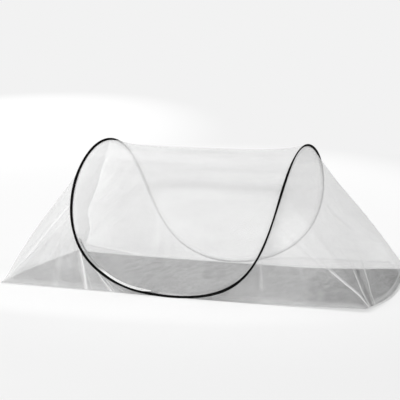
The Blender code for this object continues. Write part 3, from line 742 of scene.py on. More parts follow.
def sleevePath():
    # Middle of the folded tape: down one flap, round the wire and up the other
    radius = (boreRadius + sleeveRadius) / 2
    flap = slotHalf + sleeve["tape"] / 2
    start = math.asin(flap / radius)
    corner = radius * math.cos(start)
    inward = np.linspace((sleeve["reach"], flap), (corner, flap), 5)[:-1]
    bead = arcPoints((0, 0), radius, start, 2 * math.pi - start, 23)
    outward = np.linspace((corner, -flap), (sleeve["reach"], -flap), 5)[1:]
    return np.concatenate([inward, bead, outward])


def sleeveShares(stations):
    # The bead's size and the flaps' reach, as shares of the plain ones
    left = np.where(stations > stationCount / 2, stationCount - stations, -stations)
    behind = smoothStep((np.abs(left) - sleeve["rearFrom"]) / sleeve["rearFade"])
    return np.interp(left, *zip(*sleeve["swells"])), 1 - (1 - sleeve["rearReach"]) * behind


def makeSleeve(finish, stitchFinish):
    # The tape's section carried round the hoop in its frames. The bead is slack in places, and
    # stays clear of the ground. Two rows of stitches follow the flaps' edges.
    count = stationCount * sleeve["finePerStation"]
    stations = np.arange(count) / sleeve["finePerStation"]
    turn = stationTurn(stations)
    at = hoopFrames(turn)
    section = tapeSection(sleevePath(), sleeve["tape"])
    forward, aside = section[None, :, :1], section[None, :, 1:]
    swell, reach = sleeveShares(stations)
    swell = swell * (1 + sleeve["slack"] * waviness(at.middle, 40.0, 11))
    swell = np.minimum(swell, (at.middle[:, 2] - gap) / sleeveRadius)[:, None, None]
    size = np.where(forward < 0, swell, reach[:, None, None])
    piece = addTube("hoopSleeve", at.middle[:, None] + at.toMouth[:, None] * forward * size
                    + at.across[:, None] * aside * swell, finish, ring=True)
    at = hoopFrames(np.append(turn, turn[0] + 2 * math.pi))
    forward = (sleeve["reach"] * np.append(reach, reach[0]) - sleeve["stitchBack"])[:, None]
    aside = (slotHalf + sleeve["tape"]) * np.append(swell, swell[0])[:, None]
    rows = [stitchRow(at.middle + at.toMouth * forward + at.across * side * aside,
                      at.across * side, at.along) for side in (-1, 1)]
    return piece, addStitches("hoopStitches", rows, stitchFinish)


def wireJoint():
    # The station where the wire's ends meet, and the hoop's length per station there
    joint = 2 * hoop["quarter"] + 0.5
    return joint, np.linalg.norm(hoopLine(stationTurn(joint + 0.5))
                                 - hoopLine(stationTurn(joint - 0.5)))


def makeWire(finish):
    # A round tube along the hoop, cut where its ends meet in the ferrule
    joint, perStation = wireJoint()
    cut = wire["endGap"] / 2 / perStation
    at = hoopFrames(stationTurn(np.linspace(joint + cut, joint + stationCount - cut,
                                            wire["steps"])))
    return addTube("springHoopWire", roundSections(at.middle, at.toMouth, at.across,
                                                   wireRadius, 12), finish)


def makeFerrule(finish):
    # A tube round the wire's ends with rounded crimps: radius against length, turned
    joint, perStation = wireJoint()
    steps = np.linspace(-1, 1, 49)
    away = np.abs(((steps + 1) * wire["crimps"] / 2) % 1 - 0.5)
    outer = ferruleRadius - wire["crimpDepth"] * np.exp(-(away / wire["crimpWidth"]) ** 2)
    radii = np.concatenate([outer, np.full(len(steps), ferruleBore)])
    shares = np.concatenate([steps, steps[::-1]])
    at = hoopFrames(stationTurn(joint + shares * (wire["ferruleLength"] / 2) / perStation))
    sections = roundSections(at.middle, at.toMouth, at.across, radii, 28)
    return addTube("hoopFerrule", sections.transpose(1, 0, 2), finish, ring=True)


# Zipper: it lies on a slice of a cone round a true circle

zipper = {
    "low": 2,                     # stations of its ends and middle, from the front low point
    "mid": 5,
    "high": 8,
    "fadeStations": 1.85,         # over which the roof net leaves the cone
    "inset": 0.022,
    "tapeWidth": 0.0075,
    "tapeCloth": 0.0006,
    "tapeShares": (1.15, 0.65),   # the two tapes' widths, hoop's side first
    "tapeEnd": 0.35,              # how narrow the tapes are at their folded ends
    "overlap": 0.0035,
    "tail": 0.012,
    "lowTail": 0.045,
    "coilDiameter": 0.002,
    "coilPitch": 0.0016,
    "coilThread": 0.00024,
    "innerReach": 0.00045,        # from the zipper's middle to the tapes' and coils' edges
    "stopLength": 0.004,
    "web": 0.0008,
    "clear": 0.0004,
    "sections": 260,
    "stitchRows": (0.7, 0.83),    # shares of each tape's width
    "shadedHeights": (0.12, 0.15),       # heights between which painted shade greys its tapes and coils
}
railGap = zipper["web"] / 2 + zipper["clear"]
tapeEdge = railGap + zipper["tapeWidth"]
coilSeat = railGap + zipper["coilDiameter"] / 2
coilLift = zipper["tapeCloth"] / 2 + gap + zipper["coilDiameter"] / 2
netLap = tapeEdge - zipper["overlap"]
netClear = tapeEdge + gap + netCloth
netDrop = zipper["tapeCloth"] / 2 + gap + netCloth / 2


def zipCircle():
    # The circle through three points set in from the hoop, and how its cone leans
    at = hoopFrames(stationTurn(-np.array((zipper["low"], zipper["mid"], zipper["high"]), float)))
    low, mid, high = at.middle + at.toRoof * zipper["inset"]
    axis = unit(np.cross(high - mid, low - mid))
    first, second = low - high, mid - high
    both = np.cross(first, second)
    hub = high + np.cross((first @ first) * second - (second @ second) * first, both) / (
        2 * (both @ both))
    axis = axis if axis[1] > 0 else -axis
    at = hoopFrames(stationTurn(-np.arange(zipper["low"], zipper["high"] + 1)))
    radial = at.middle - hub
    radial = unit(radial - (radial @ axis)[:, None] * axis)
    lean = np.arctan2(-at.toRoof @ axis, -(at.toRoof * radial).sum(1)).mean()
    return hub, axis, unit(low - hub), float(np.linalg.norm(low - hub)), float(lean)


zipHub, zipAxis, zipStart, zipRadius, zipLean = zipCircle()
zipSide = np.cross(zipAxis, zipStart)


def zipAngle(points):
    # Turn about the zipper's axis, from its low end
    arm = points - zipHub
    return np.arctan2(arm @ zipSide, arm @ zipStart)


def zipPoint(angle, side, lift):
    # A point beside the zipper's middle and above its tape, on the cone's slice
    angle, side, lift = np.broadcast_arrays(*[np.asarray(v, float) for v in (angle, side, lift)])
    radial = np.cos(angle)[..., None] * zipStart + np.sin(angle)[..., None] * zipSide
    hoopward = math.cos(zipLean) * radial + math.sin(zipLean) * zipAxis
    out = math.sin(zipLean) * radial - math.cos(zipLean) * zipAxis
    return zipHub + zipRadius * radial + side[..., None] * hoopward + lift[..., None] * out


def zipEnds():
    return zipAngle(hoopLine(stationTurn(-np.array((zipper["low"], zipper["high"]), float))))


def makeTapes(finish):
    # A flat band with rounded edges along each side of the circle, which narrows past the stops,
    # where its ends are folded under
    low, high = zipEnds()
    start, end = low - zipper["lowTail"] / zipRadius, high + zipper["tail"] / zipRadius
    angle = np.linspace(start, end, zipper["sections"])[:, None]
    ends = np.minimum((angle - start) / (zipper["lowTail"] / zipRadius),
                      (end - angle) / (zipper["tail"] / zipRadius))
    narrow = (zipper["tapeEnd"] + (1 - zipper["tapeEnd"]) * smoothStep(ends)) * (
        1 - 0.1 * (angle - low) / (high - low))
    half, inner = zipper["tapeCloth"] / 2, zipper["innerReach"]
    tapes = []
    for name, face, breadth in zip(("zipperTapeHoopSide", "zipperTapeDoorSide"), (1, -1),
                                   zipper["tapeShares"]):
        outer = tapeEdge * breadth
        wide = np.linspace(inner + half, outer - half, 7)
        far = arcPoints((outer - half, 0), half, 0.5 * math.pi, -0.5 * math.pi, 5)[1:-1]
        near = arcPoints((inner + half, 0), half, 1.5 * math.pi, 0.5 * math.pi, 5)[1:-1]
        side = np.concatenate([wide, far[:, 0], wide[::-1], near[:, 0]])
        lift = np.concatenate([np.full(7, half), far[:, 1], np.full(7, -half), near[:, 1]])
        tapes.append(addTube(name, zipPoint(angle, face * side[None] * narrow, lift[None]),
                             finish))
    return tapes


def makeCoils(finish):
    # A thread wound in a flattened helix along each tape's edge, half a turn out of step
    low, high = zipEnds()
    stop = (gap + zipper["stopLength"]) / zipRadius
    start, end = low + stop, high - stop
    turns = int((end - start) * zipRadius / zipper["coilPitch"])
    steps = np.arange(turns * 12 + 1) / 12.0
    outer = coilSeat + zipper["coilDiameter"] / 2 - zipper["coilThread"]
    inner = zipper["innerReach"] + zipper["coilThread"]
    tall = zipper["coilDiameter"] / 2 - zipper["coilThread"]
    coils = []
    for name, face, phase in (("zipperCoilHoopSide", 1, 0.0),
                              ("zipperCoilDoorSide", -1, math.pi)):
        turn = 2 * math.pi * steps + phase
        side = (outer + inner) / 2 - (outer - inner) / 2 * np.cos(turn)
        angle = start + (end - start) * steps / turns
        line = zipPoint(angle, face * side, coilLift + tall * np.sin(turn))
        ahead = unit(np.gradient(line, axis=0))
        first = zipPoint(angle, face * (outer + inner) / 2, coilLift) - line
        first = unit(first - (first * ahead).sum(1, keepdims=True) * ahead)
        sections = roundSections(line, first, np.cross(ahead, first), zipper["coilThread"], 6)
        coils.append(addTube(name, sections, finish))
    return coils


def makeZipperStitches(finish):
    # Two rows on each tape, through the net's edge
    low, high = zipEnds()
    tail = zipper["tail"] / zipRadius
    angle = np.linspace(low - tail, high + tail, 300)
    backs = unit(zipPoint(angle, 0, 1.0) - zipPoint(angle, 0, 0.0))
    rows = [stitchRow(zipPoint(angle, side * tapeEdge * breadth * share, zipper["tapeCloth"] / 2),
                      backs)
            for side, breadth in zip((1, -1), zipper["tapeShares"])
            for share in zipper["stitchRows"]]
    return addStitches("zipperStitches", rows, finish)


# Nets

net = {
    "turn": 0.003,
    "hoopHem": 0.010,             # widths of the turned edges, and the layers that they add
    "rearHem": 0.052,
    "endHem": 0.024,
    "frontHem": 0.05,
    "hoopHemLayers": 0.9,
    "rearHemLayers": 0.35,
    "frontHemLayers": 0.75,
    "seam": (0.004, 0.6, -0.12),  # half width, layers and tone
    "glint": (0.007, 1.2, 0.12),  # bright line along the rear nets' feet: height, layers, tone
    "edgeLayers": 2.6,            # in the sleeve's slot
}
netFoot = bindingHeight + gap + netCloth / 2

roof = {
    "sag": 0.018,
    "sagPower": 6,
    "wave": 0.004,
    "waveCount": 5,
    "cornerPower": 3,
    "cornerColumns": 3,
    "finePerStation": 12,
    "ripples": 9,
    "ripplePitch": (0.07, 0.26),
    "rippleLean": 0.10,
    "rippleMiddle": (0.1, 0.9),   # as a share of the roof's width, as is a ripple's half width
    "rippleWidth": (0.2, 0.5),
    "rippleHeight": 0.008,        # as a share of the pitch
    "clouds": (0.22, 16.0),       # how patchy its layers are, and how fine the patches
    "streaks": (0.03, 30.0),      # and its tone
    "ringCloth": 0.03,            # cloth in the rings, for the pattern
    "ringLayers": (2.6, 2.6, 2.4, 1.7, 1.25, 1.15, 1.15, 1.0),      # from the slot inwards
    # Painted fold shade along X: length from the front low point, half width, how dark, X from and
    # to
    "bands": ((0.64, 0.034, 0.18, -0.24, 0.72), (0.765, 0.022, 0.09, -0.14, 0.68),
              (0.55, 0.02, 0.04, -0.1, 0.5)),
    "bandFade": 0.2,
    "bandWander": 0.008,
    "topLight": 0.10,              # painted light on the roof's top: how much, and where
    "top": (0.8, 1.3),
    # Painted light and shade in patches: X, arch length, and change of tone and layers
    "washes": (((-0.7, -0.33), (0.48, 0.9), 0.08, -0.1),
               ((-0.36, -0.04), (0.22, 0.68), -0.085, 0.08),
               ((0.24, 0.52), (1.84, 2.25), 0.06, -0.3),
               ((0.3, 0.6), (1.58, 1.84), 0.04, -0.15),
               ((-0.5, 0.1), (2.0, 2.3), 0.06, 0.1)),
    "washFade": 0.1,
    "hemFrom": 0.05,              # X from where the rear hem shows
    "hemLayers": 0.3,
}


def roofRings(stations):
    # Closed rings of the roof net from its seat in the slot to the zipper's far side. Each is
    # set in from the hoop, and by the zipper it turns over to the cone's slice as a bell curve.
    at = hoopFrames(stationTurn(stations))
    lane = at.across * netLane
    turned = at.middle + at.toMouth * (sleeve["reach"] + net["turn"] / 2) + (
        at.across * net["turn"])
    rings = [at.middle + at.toMouth * sleeve["seat"] + lane,
             at.middle + at.toMouth * (sleeve["reach"] + gap) + lane, turned]
    half = stationCount / 2
    left = (half - stations) % stationCount - half      # stations towards the left crown
    past = np.maximum(np.maximum(zipper["low"] - left, left - zipper["high"]), 0)
    share = np.exp(-(past / zipper["fadeStations"]) ** 2)[:, None]
    share = np.where(share > 0.0005, share, 0)
    angle = zipAngle(at.middle)
    for aside in (netClear, netLap, -netLap, -netClear):
        ring = turned + at.toRoof * (zipper["inset"] - sleeve["reach"] + netClear / 2 - aside)
        rings.append(ring * (1 - share) + zipPoint(angle, aside, -netDrop) * share)
    rings.insert(3, rings[2] * 0.5 + rings[3] * 0.5)
    return np.array(rings), left, at.outward


def profileLength(turn):
    # Length of the roof's cross-section from the front low point
    fine = np.linspace(-math.pi / 2, math.pi / 2, 2001)
    folded = np.where(turn > math.pi / 2, math.pi - turn, turn)
    return np.interp(folded, fine, lineLengths(hoopLine(fine)[:, 1:]))


def roofRipples(length, x, part):
    # Small ripples along the tent, where the cloth is drawn between the limbs: sines of the arch
    # length, each leaning a little and fading to both sides
    ripple = np.zeros(x.shape)
    draw = np.random.default_rng(5)
    for wave in range(roof["ripples"]):
        pitch = draw.uniform(*roof["ripplePitch"])
        lean = draw.uniform(-roof["rippleLean"], roof["rippleLean"])
        middle = draw.uniform(*roof["rippleMiddle"])
        fade = np.exp(-((part - middle) / draw.uniform(*roof["rippleWidth"])) ** 2)
        phase = draw.uniform(0, 2 * math.pi)
        ripple = ripple + fade * np.sin(
            2 * math.pi * (length[:, None] + lean * x) / pitch + phase) * pitch
    return ripple


def makeRoofNet(finish):
    # Rings along the hoop, and a grid within: each row runs straight from limb to limb, plus the
    # two ends' own lines times a power of the way to them, minus sag, waves and ripples along
    # the hoop's outward way
    fine = roof["finePerStation"]
    count = stationCount * fine
    stations = np.arange(count) / fine
    rings, left, outward = roofRings(stations)
    bands = len(rings)
    faces = gridCells(bands, count, wrapColumns=True)[0]
    # The slit under the zipper's tapes stays open between the two cut edges
    start, band = left[faces[:, 0] % count], faces[:, 0] // count
    slit = (band == bands - 3) & (start > zipper["low"] + 0.5 / fine) & (
        start < zipper["high"] + 0.5 / fine)
    faces = faces[~slit]
    edge = rings[-1]
    corner, half = roof["cornerColumns"] * fine, count // 2
    rows, columns = half - 2 * corner, 2 * corner
    across, down = np.arange(columns + 1), np.arange(rows + 1)
    bottom, top = (across - corner) % count, (half + corner - across) % count
    rightSide, leftSide = corner + down, (-(corner + down)) % count
    part, run = (across / columns)[None, :, None], (down / rows)[:, None, None]
    grid = edge[leftSide][:, None] * (1 - part) + edge[rightSide][:, None] * part
    for line, share in ((bottom, 1 - run), (top, run)):
        straight = edge[line[0]] * (1 - part) + edge[line[-1]] * part
        grid = grid + (edge[line][None] - straight) * share ** roof["cornerPower"]
    slack = 1 - np.abs(2 * part[..., 0] - 1) ** roof["sagPower"]
    out, runs = outward[rightSide], run[:, 0, 0]
    drop = roof["sag"] * np.maximum(out[:, 2], 0) ** 2
    drop = drop + roof["wave"] * np.sin(roof["waveCount"] * math.pi * runs) * np.sin(
        math.pi * runs)
    length = profileLength(stationTurn(stations[rightSide]))
    ripple = roofRipples(length, grid[..., 0], part[..., 0])
    ripple *= roof["rippleHeight"] * np.sin(math.pi * runs)[:, None] ** 0.5
    grid = grid - out[:, None] * ((drop[:, None] + ripple) * slack)[..., None]
    # The grid's border is the last ring, and its other points come after the rings
    index = np.full((rows + 1, columns + 1), -1)
    offset = (bands - 1) * count
    index[0], index[-1] = offset + bottom, offset + top
    index[1:-1, 0], index[1:-1, -1] = offset + leftSide[1:-1], offset + rightSide[1:-1]
    inner = (rows - 1) * (columns - 1)
    index[1:-1, 1:-1] = bands * count + np.arange(inner).reshape(rows - 1, columns - 1)
    points = np.concatenate([rings.reshape(-1, 3), grid[1:-1, 1:-1].reshape(-1, 3)])
    cells = np.stack([index[:-1, :-1], index[:-1, 1:], index[1:, 1:], index[1:, :-1]], axis=-1)
    faces = np.concatenate([faces, cells.reshape(-1, 4)])
    # The mesh runs along X and along the arch, so a point's pattern is its X and arch length
    arch = np.concatenate([np.tile(profileLength(stationTurn(stations)), bands),
                           np.repeat(length[1:-1], columns - 1)])
    flat = np.stack([points[:, 0], arch], axis=1)
    flat[:bands * count, 1] += np.repeat(np.linspace(0, roof["ringCloth"], bands), count)
    layers, tone = roofLayers(points, arch, np.repeat(roof["ringLayers"], count))
    piece = addMesh("roofNet", points, [faces], finish, flat[faces],
                    {"layers": layers, "tone": tone})
    return solidCloth(piece, netCloth), points, faces


def roofLayers(points, arch, ringLayers):
    # How many layers lie at each point, and their tone, with painted light and shade
    x, y, z = points.T
    layers = np.ones(len(points))
    layers[:len(ringLayers)] = ringLayers
    height, scale = roof["clouds"]
    layers = layers * (1 + height * waviness(points * np.array((0.35, 1.0, 1.0)), scale, 21))
    height, scale = roof["streaks"]
    tone = 1 + height * waviness(points * np.array((0.25, 1.0, 1.0)), scale, 22)
    for spot, wide, more, west, east in roof["bands"]:
        wander = spot + roof["bandWander"] * np.sin(9.0 * x + 40.0 * spot)
        fold = between(x, west, east, roof["bandFade"]) * np.exp(-((arch - wander) / wide) ** 2)
        # Painted shade in each fold band
        tone -= more * fold
        layers += 2.0 * more * fold
    first, end = roof["top"]
    # Painted light on the roof's top
    tone += roof["topLight"] * smoothStep((arch - first) / 0.05) * smoothStep((end - arch) / 0.2)
    for alongX, alongArch, lighter, closer in roof["washes"]:
        wash = between(x, *alongX, roof["washFade"]) * between(arch, *alongArch, roof["washFade"])
        # Painted light and shade over each patch
        tone += lighter * wash
        layers += closer * wash
    layers += roof["hemLayers"] * (y > 0) * smoothStep((net["rearHem"] - z) / 0.006) * (
        smoothStep((x - roof["hemFrom"]) / 0.2))
    return layers, tone


fan = {
    # Where the rows meet the floor: station, share of the half side, share of the end
    "stations": (0, 3, 6, 8, 9, 9.5, 10, 11, 12, 13, 14, 15, 16, 17),
    "sideShares": (0, 0.17, 0.34, 0.53, 0.66, 0.80, 1, 1, 1, 1, 1, 1, 1, 1),
    "endShares": (0, 0, 0, 0, 0, 0, 0, 0.04, 0.12, 0.26, 0.44, 0.63, 0.82, 1),
    "rowsPerStation": 6,
    "closestRows": 0.009,         # in stations
    "columns": 60,
    "besidePleat": np.array((0, 0.012, 0.024, 0.037, 0.052, 0.072, 0.10)),     # extra rows
    "foldDepth": 0.009,
    "crestStations": 0.55,        # half width of a soft fold
    "pleatDepth": 0.0035,
    "pleatWidth": 0.0042,         # half width of a sharp pleat
    "pleatLightShade": 0.05,            # painted light on a crest for each layer, painted shade for each one less
    "dragLines": 14,
    "dragPitch": (0.35, 1.3),     # in stations, as is a drag line's half width
    "dragWidth": (2, 5),
    "dragHeight": 0.0016,
    "dragLayers": 0.10,
    "calmStations": 2.5,          # over which they fade in from the low points
    "openedShare": 0.5,           # how much opener the right net is towards its low corner
    "shownFade": 0.12,            # over which a pleat shows
    # Where the cloth turns over: reach behind and ahead of the crest, layers, and painted light
    # and shade
    "turnedOver": (0.16, 0.13, 0.5, 0.09),
    "clouds": (0.20, 13.0),       # how patchy the layers are, and how fine the patches
    "veilHeight": (0.32, 0.12),   # below this it lies closer, and over this it fades in
    "openedX": (0.4, 0.5),        # the same along X and Z for the low right corner
    "openedZ": (0.3, 0.2),
}
# One dictionary for each end net:
# folds: station of a soft fold's crest on the hoop, and height as a share of foldDepth
# bow: how the pull on the net bows its outline out, as station, stations either side, height,
#      and the power that moves it towards the floor
# uneven, veil: how patchy the net is, and how much closer it lies by the floor
# hemShown: the hem shows at the right, and lies flat on the net at the left
# washes: painted light and shade in patches, as stations, heights, and change of tone
# pleats: a line of (share of the way from hoop to floor, station), extra layers on the crest,
#         half width as a share of pleatWidth, and the shares between which it shows
turnedFold = ((0, 17.4), (0.09, 17.8), (0.36, 19.2), (0.52, 19.85), (0.6, 20.3), (0.85, 23.5),
              (1, 25.5))
leftEnd = {
    "side": -1,
    "seed": 39,
    "folds": ((6, 0.8), (7.5, 1), (9, 0.8), (10.5, 0.7), (12.5, 1.0), (14.5, 0.8),
              (20, -0.7), (23, -0.9), (25, 0.8), (27, 0.7)),
    "bow": (12.9, 1.8, -0.031, 1.6),
    "uneven": 0.7,
    "veil": 0.16,
    "hemShown": 0.15,
    "washes": (((16, 21.5), (0.42, 1.0), 0.06), ((21.5, 35), (-0.2, 1.0), -0.08)),
    "pleats": (
        (((0, 5.5), (0.6, 5.33), (0.85, 4.96), (1, 4.84)), 1.4, 0.9, (0.3, 1.2)),
        (((0, 6.2), (0.5, 6.12), (0.77, 5.9), (1, 5.85)), 1.6, 0.9, (0.3, 1.2)),
        (((0, 6.5), (0.4, 6.35), (0.65, 6.31), (1, 6.1)), 3.6, 1.7, (-0.2, 1.2)),
        (((0, 7.5), (1, 7.3)), 0.5, 1.5, (0.6, 1.2)),
        (((0, 7.97), (0.26, 7.89), (0.5, 7.8), (1, 7.65)), 4.0, 2.1, (-0.2, 1.2)),
        (((0, 9.8), (0.3, 9.46), (0.5, 9.29), (0.73, 9.14), (1, 9.05)), 0.3, 3.0, (-0.2, 1.2)),
        (((0, 10.03), (0.4, 9.96), (1, 9.95)), 0.5, 1.6, (-0.2, 1.2)),
        (((0, 10.85), (0.3, 10.84), (0.58, 10.6), (0.85, 10.15), (1, 10.1)), 1.3, 2.4,
         (-0.2, 1.2)),
        (turnedFold, 0.3, 1.2, (-0.2, 0.9))),
}
rightEnd = {
    "side": 1,
    "seed": 41,
    "folds": ((7, 0.5), (9, 0.5), (10.5, 1), (12, -0.9), (13.5, 0.6), (16, -0.7),
              (18.5, -0.5), (24.5, 0.9), (27, 0.7)),
    "bow": (21.2, 2.5, -0.0285, 1.35),
    "uneven": 0.35,
    "veil": 0.10,
    "hemShown": 1.0,
    "washes": (((8, 17), (0.3, 1.0), 0.04), ((8, 12.5), (0.1, 0.6), 0.05),
               ((17, 35), (0.05, 0.45), -0.035), ((4, 10), (-0.2, 0.3), 0.07)),
    "pleats": (
        (((0, 7.75), (0.2, 7.72), (0.6, 7.54), (1, 7.4)), 0.6, 2.8, (0.05, 0.75)),
        (((0, 9.9), (0.45, 9.6), (1, 9.15)), 0.17, 3.0, (0.3, 0.8)),
        (((0, 10.4), (0.3, 10.5), (1, 11.0)), 0.25, 5.0, (-0.2, 0.5)),
        (((0, 10.8), (0.3, 10.87), (0.6, 10.75), (0.75, 11.15), (0.9, 11.7), (1, 11.72)), 3.2,
         1.35, (0.54, 1.2)),
        (((0, 17), (0.5, 14.7), (0.74, 13.29), (0.8, 13.0), (0.87, 12.55), (1, 11.97)), 2.2,
         1.1, (0.66, 1.2)),
        (((0, 18), (0.5, 15.3), (0.76, 13.7), (0.87, 13.0), (1, 12.3)), -2.3, 1.9, (0.66, 1.2)),
        (((0, 18.9), (0.5, 15.9), (0.8, 14.1), (0.9, 13.35), (1, 12.6)), 0.8, 0.8, (0.66, 1.2)),
        (((0, 19.6), (0.5, 16.4), (0.785, 14.5), (0.85, 14.05), (0.915, 13.5), (1, 12.9)), 2.4,
         1.1, (0.66, 1.2)),
        (((0, 24.2), (0.2, 24.3), (0.5, 24.2), (1, 24.0)), 0.6, 1.4, (0, 0.5))),
}


def footPoints(stations, side):
    # Where each row meets the binding, for stations counted from the front low point
    quarter = hoop["quarter"]
    rear = stations > quarter
    near = np.where(rear, 2 * quarter - stations, stations)
    alongSide = np.interp(near, fan["stations"], fan["sideShares"])
    alongEnd = np.interp(near, fan["stations"], fan["endShares"])
    halfWidth, inset = floorCloth["width"] / 2, binding["width"] / 2
    y = halfWidth * (1 - alongEnd)
    x = alongSide * (floorCloth["length"] / 2 - inset) + (
        floorCloth["bow"] * (1 - (y / halfWidth) ** 2))
    y = np.minimum(y, halfWidth - inset)
    return drawCorners(np.stack([side * x, np.where(rear, y, -y), np.full_like(y, netFoot)],
                                axis=-1))


def unrolled(starts, ends):
    # The rows laid flat one after the other, as the net's cut, where each quad keeps its edges:
    # a row's two ends lie ahead and beside from the row before
    count = len(starts)
    flatStarts, flatEnds = np.zeros((count, 2)), np.zeros((count, 2))
    rowLength = np.linalg.norm(ends - starts, axis=1)
    flatEnds[0] = (rowLength[0], 0)
    for row in range(1, count):
        last = flatStarts[row - 1]
        ahead = (flatEnds[row - 1] - last) / rowLength[row - 1]
        beside = np.array([-ahead[1], ahead[0]])
        way = (ends[row - 1] - starts[row - 1]) / rowLength[row - 1]
        for target, source in ((flatStarts, starts), (flatEnds, ends)):
            step = source[row] - starts[row - 1]
            run = step @ way
            target[row] = last + ahead * run + beside * math.sqrt(max(step @ step - run * run, 0))
    return flatStarts, flatEnds


def fanStations(pleats, runs, last):
    # Stations of the grid's points. Its rows bend with the pleats, so that each crest stays on a
    # row, and they lie closer beside it.
    base = np.linspace(0, last, last * fan["rowsPerStation"] + 1)
    extra = [line[0][1] + sign * fan["besidePleat"] * width
             for line, more, width, shown in pleats for sign in (-1, 1)]
    rows = np.unique(np.round(np.concatenate([base, *extra]), 4))
    rows = rows[np.append(True, np.diff(rows) > fan["closestRows"])]
    rows[-1] = last
    lines = np.array([np.zeros_like(runs), *[np.interp(runs, *zip(*line))
                                             for line, more, width, shown in pleats],
                      np.full_like(runs, last)])
    return rows, np.stack([np.interp(rows, lines[:, 0], line) for line in lines.T], axis=1)


def addPleats(rise, layers, tone, cloth, stations, runs, pleats):
    # Each pleat stands up as a bell curve of the cloth's length from its crest, which flattens
    # at the hoop and at the floor, and its folded layers show
    wide = np.zeros(stations.shape)
    wide[1:] = np.cumsum(np.linalg.norm(np.diff(cloth, axis=0), axis=2), axis=0)
    hold = np.sin(math.pi * runs)[None] ** 0.35
    for line, more, width, shown in pleats:
        row = np.argmin(np.abs(stations - np.interp(runs, *zip(*line))[None]), axis=0)
        away = wide - wide[row, np.arange(len(runs))]
        crease = between(runs, *shown, fan["shownFade"]) * np.exp(
            -(away / (fan["pleatWidth"] * width)) ** 2)
        rise += fan["pleatDepth"] * min(more, 1.4) * min(width, 1.5) * crease * hold
        layers += more * crease * (0.35 + 0.65 * hold)
        # Painted light on a rising crest, painted shade on a sinking one
        tone += fan["pleatLightShade"] * more * crease
        if line is turnedFold:
            # The cloth turns here: closer with painted shade before the crest, opener with painted
            # light past it
            behind, ahead, opener, lighter = fan["turnedOver"]
            turn = np.where(away > 0, np.exp(-away / ahead), -np.exp(away / behind))
            turn *= np.tanh(np.abs(away) / 0.004)
            layers -= opener * turn
            tone += lighter * turn


def dragLines(stations, last, seed):
    # Fine lines that run with the rows: sines of the station, each fading to both sides
    draw = np.random.default_rng(seed)
    drag = np.zeros(stations.shape)
    for wave in range(fan["dragLines"]):
        pitch = draw.uniform(*fan["dragPitch"])
        middle = draw.uniform(0, last)
        fade = np.exp(-((stations - middle) / draw.uniform(*fan["dragWidth"])) ** 2)
        drag += fade * np.sin(2 * math.pi * stations / pitch + draw.uniform(0, 6.3)) * pitch
    return drag


def makeEndNet(name, end, finish):
    # A ruled fan: each row runs straight from a station of the hoop to its place on the floor.
    # Folds, the bow, pleats and drag lines stand up from it as bell curves across the rows,
    # which are nothing at the hoop and at the floor.
    side, last = end["side"], 2 * hoop["quarter"]
    runs = 0.5 * (1 - np.cos(np.linspace(0, math.pi, fan["columns"]))) / 2
    runs = runs + 0.5 * np.linspace(0, 1, fan["columns"])
    rows, stations = fanStations(end["pleats"], runs, last)
    at = hoopFrames(stationTurn(side * stations))
    start = at.middle + at.toMouth * (sleeve["reach"] + net["turn"] / 2) - (
        at.across * net["turn"])
    foot = footPoints(stations.ravel(), side).reshape(start.shape)
    share = runs[None, :, None]
    cloth = start * (1 - share) + foot * share
    at = hoopFrames(stationTurn(side * rows))
    seats = np.stack([at.middle + at.toMouth * reach - at.across * netLane
                      for reach in (sleeve["seat"], sleeve["reach"] + gap)], axis=1)
    normals = side * unit(np.cross(np.gradient(cloth, axis=0), np.gradient(cloth, axis=1)))
    arch = np.sin(math.pi * runs)[None]
    rise = np.zeros(stations.shape)
    for crest, height in end["folds"]:
        rise += fan["foldDepth"] * height * arch * np.exp(
            -((stations - crest) / fan["crestStations"]) ** 2)
    crest, width, height, power = end["bow"]
    rise += height * np.exp(-((stations - crest) / width) ** 2) * np.sin(
        math.pi * runs ** power)[None]
    layers, tone = np.ones(stations.shape), np.ones(stations.shape)
    front = stations < last / 2
    high, fade = fan["veilHeight"]
    layers += end["veil"] * smoothStep((high - cloth[..., 2]) / fade) * front
    if side > 0:
        # Drawn open towards the low corner, where the floor shows more clearly through it
        (west, reach), (high, fade) = fan["openedX"], fan["openedZ"]
        thin = smoothStep((cloth[..., 0] - west) / reach) * smoothStep(
            (high - cloth[..., 2]) / fade)
        layers -= fan["openedShare"] * thin * (stations < last / 2 + 3)
    addPleats(rise, layers, tone, cloth, stations, runs, end["pleats"])
    drag = dragLines(stations, last, end["seed"])
    calm = np.minimum(np.minimum(stations, last - stations) / fan["calmStations"], 1)
    cloth = cloth + normals * (rise + fan["dragHeight"] * drag * arch * calm)[..., None]
    for part in (cloth, seats):   # each net keeps to its own side of the middle
        part[..., 0] = side * np.maximum(side * part[..., 0], gap + netCloth / 2)
    height, scale = fan["clouds"]
    soft = height * waviness(cloth * np.array((1.0, 1.0, 0.6)), scale, end["seed"] + 7)
    layers = layers * (1 + end["uneven"] * (soft + fan["dragLayers"] * np.clip(drag, -1, 1)))
    # Painted light and shade in patches
    for places, heights, change in end["washes"]:
        tone += change * between(stations, *places, 2) * between(cloth[..., 2], *heights, 0.12)
    addHems(layers, tone, cloth, start, foot, end)
    edge = np.full((len(rows), 2), net["edgeLayers"])
    values = {"layers": np.concatenate([edge, np.maximum(layers, 0.1)], axis=1),
              "tone": np.concatenate([np.ones(edge.shape), tone], axis=1)}
    grid = np.concatenate([seats, cloth], axis=1)
    flatStart, flatFoot = unrolled(start[:, 0], foot[:, -1])
    lengths = np.concatenate([[-0.006, -0.003], runs])[None, :, None]
    flat = flatStart[:, None] * (1 - lengths) + flatFoot[:, None] * lengths
    faces, spots = gridCells(*grid.shape[:2])
    piece = addMesh(name, grid, [faces], finish, flat.reshape(-1, 2)[spots], values)
    size = flatBox(np.concatenate([flatStart, flatFoot]))
    return solidCloth(piece, netCloth), grid.reshape(-1, 3), faces, size


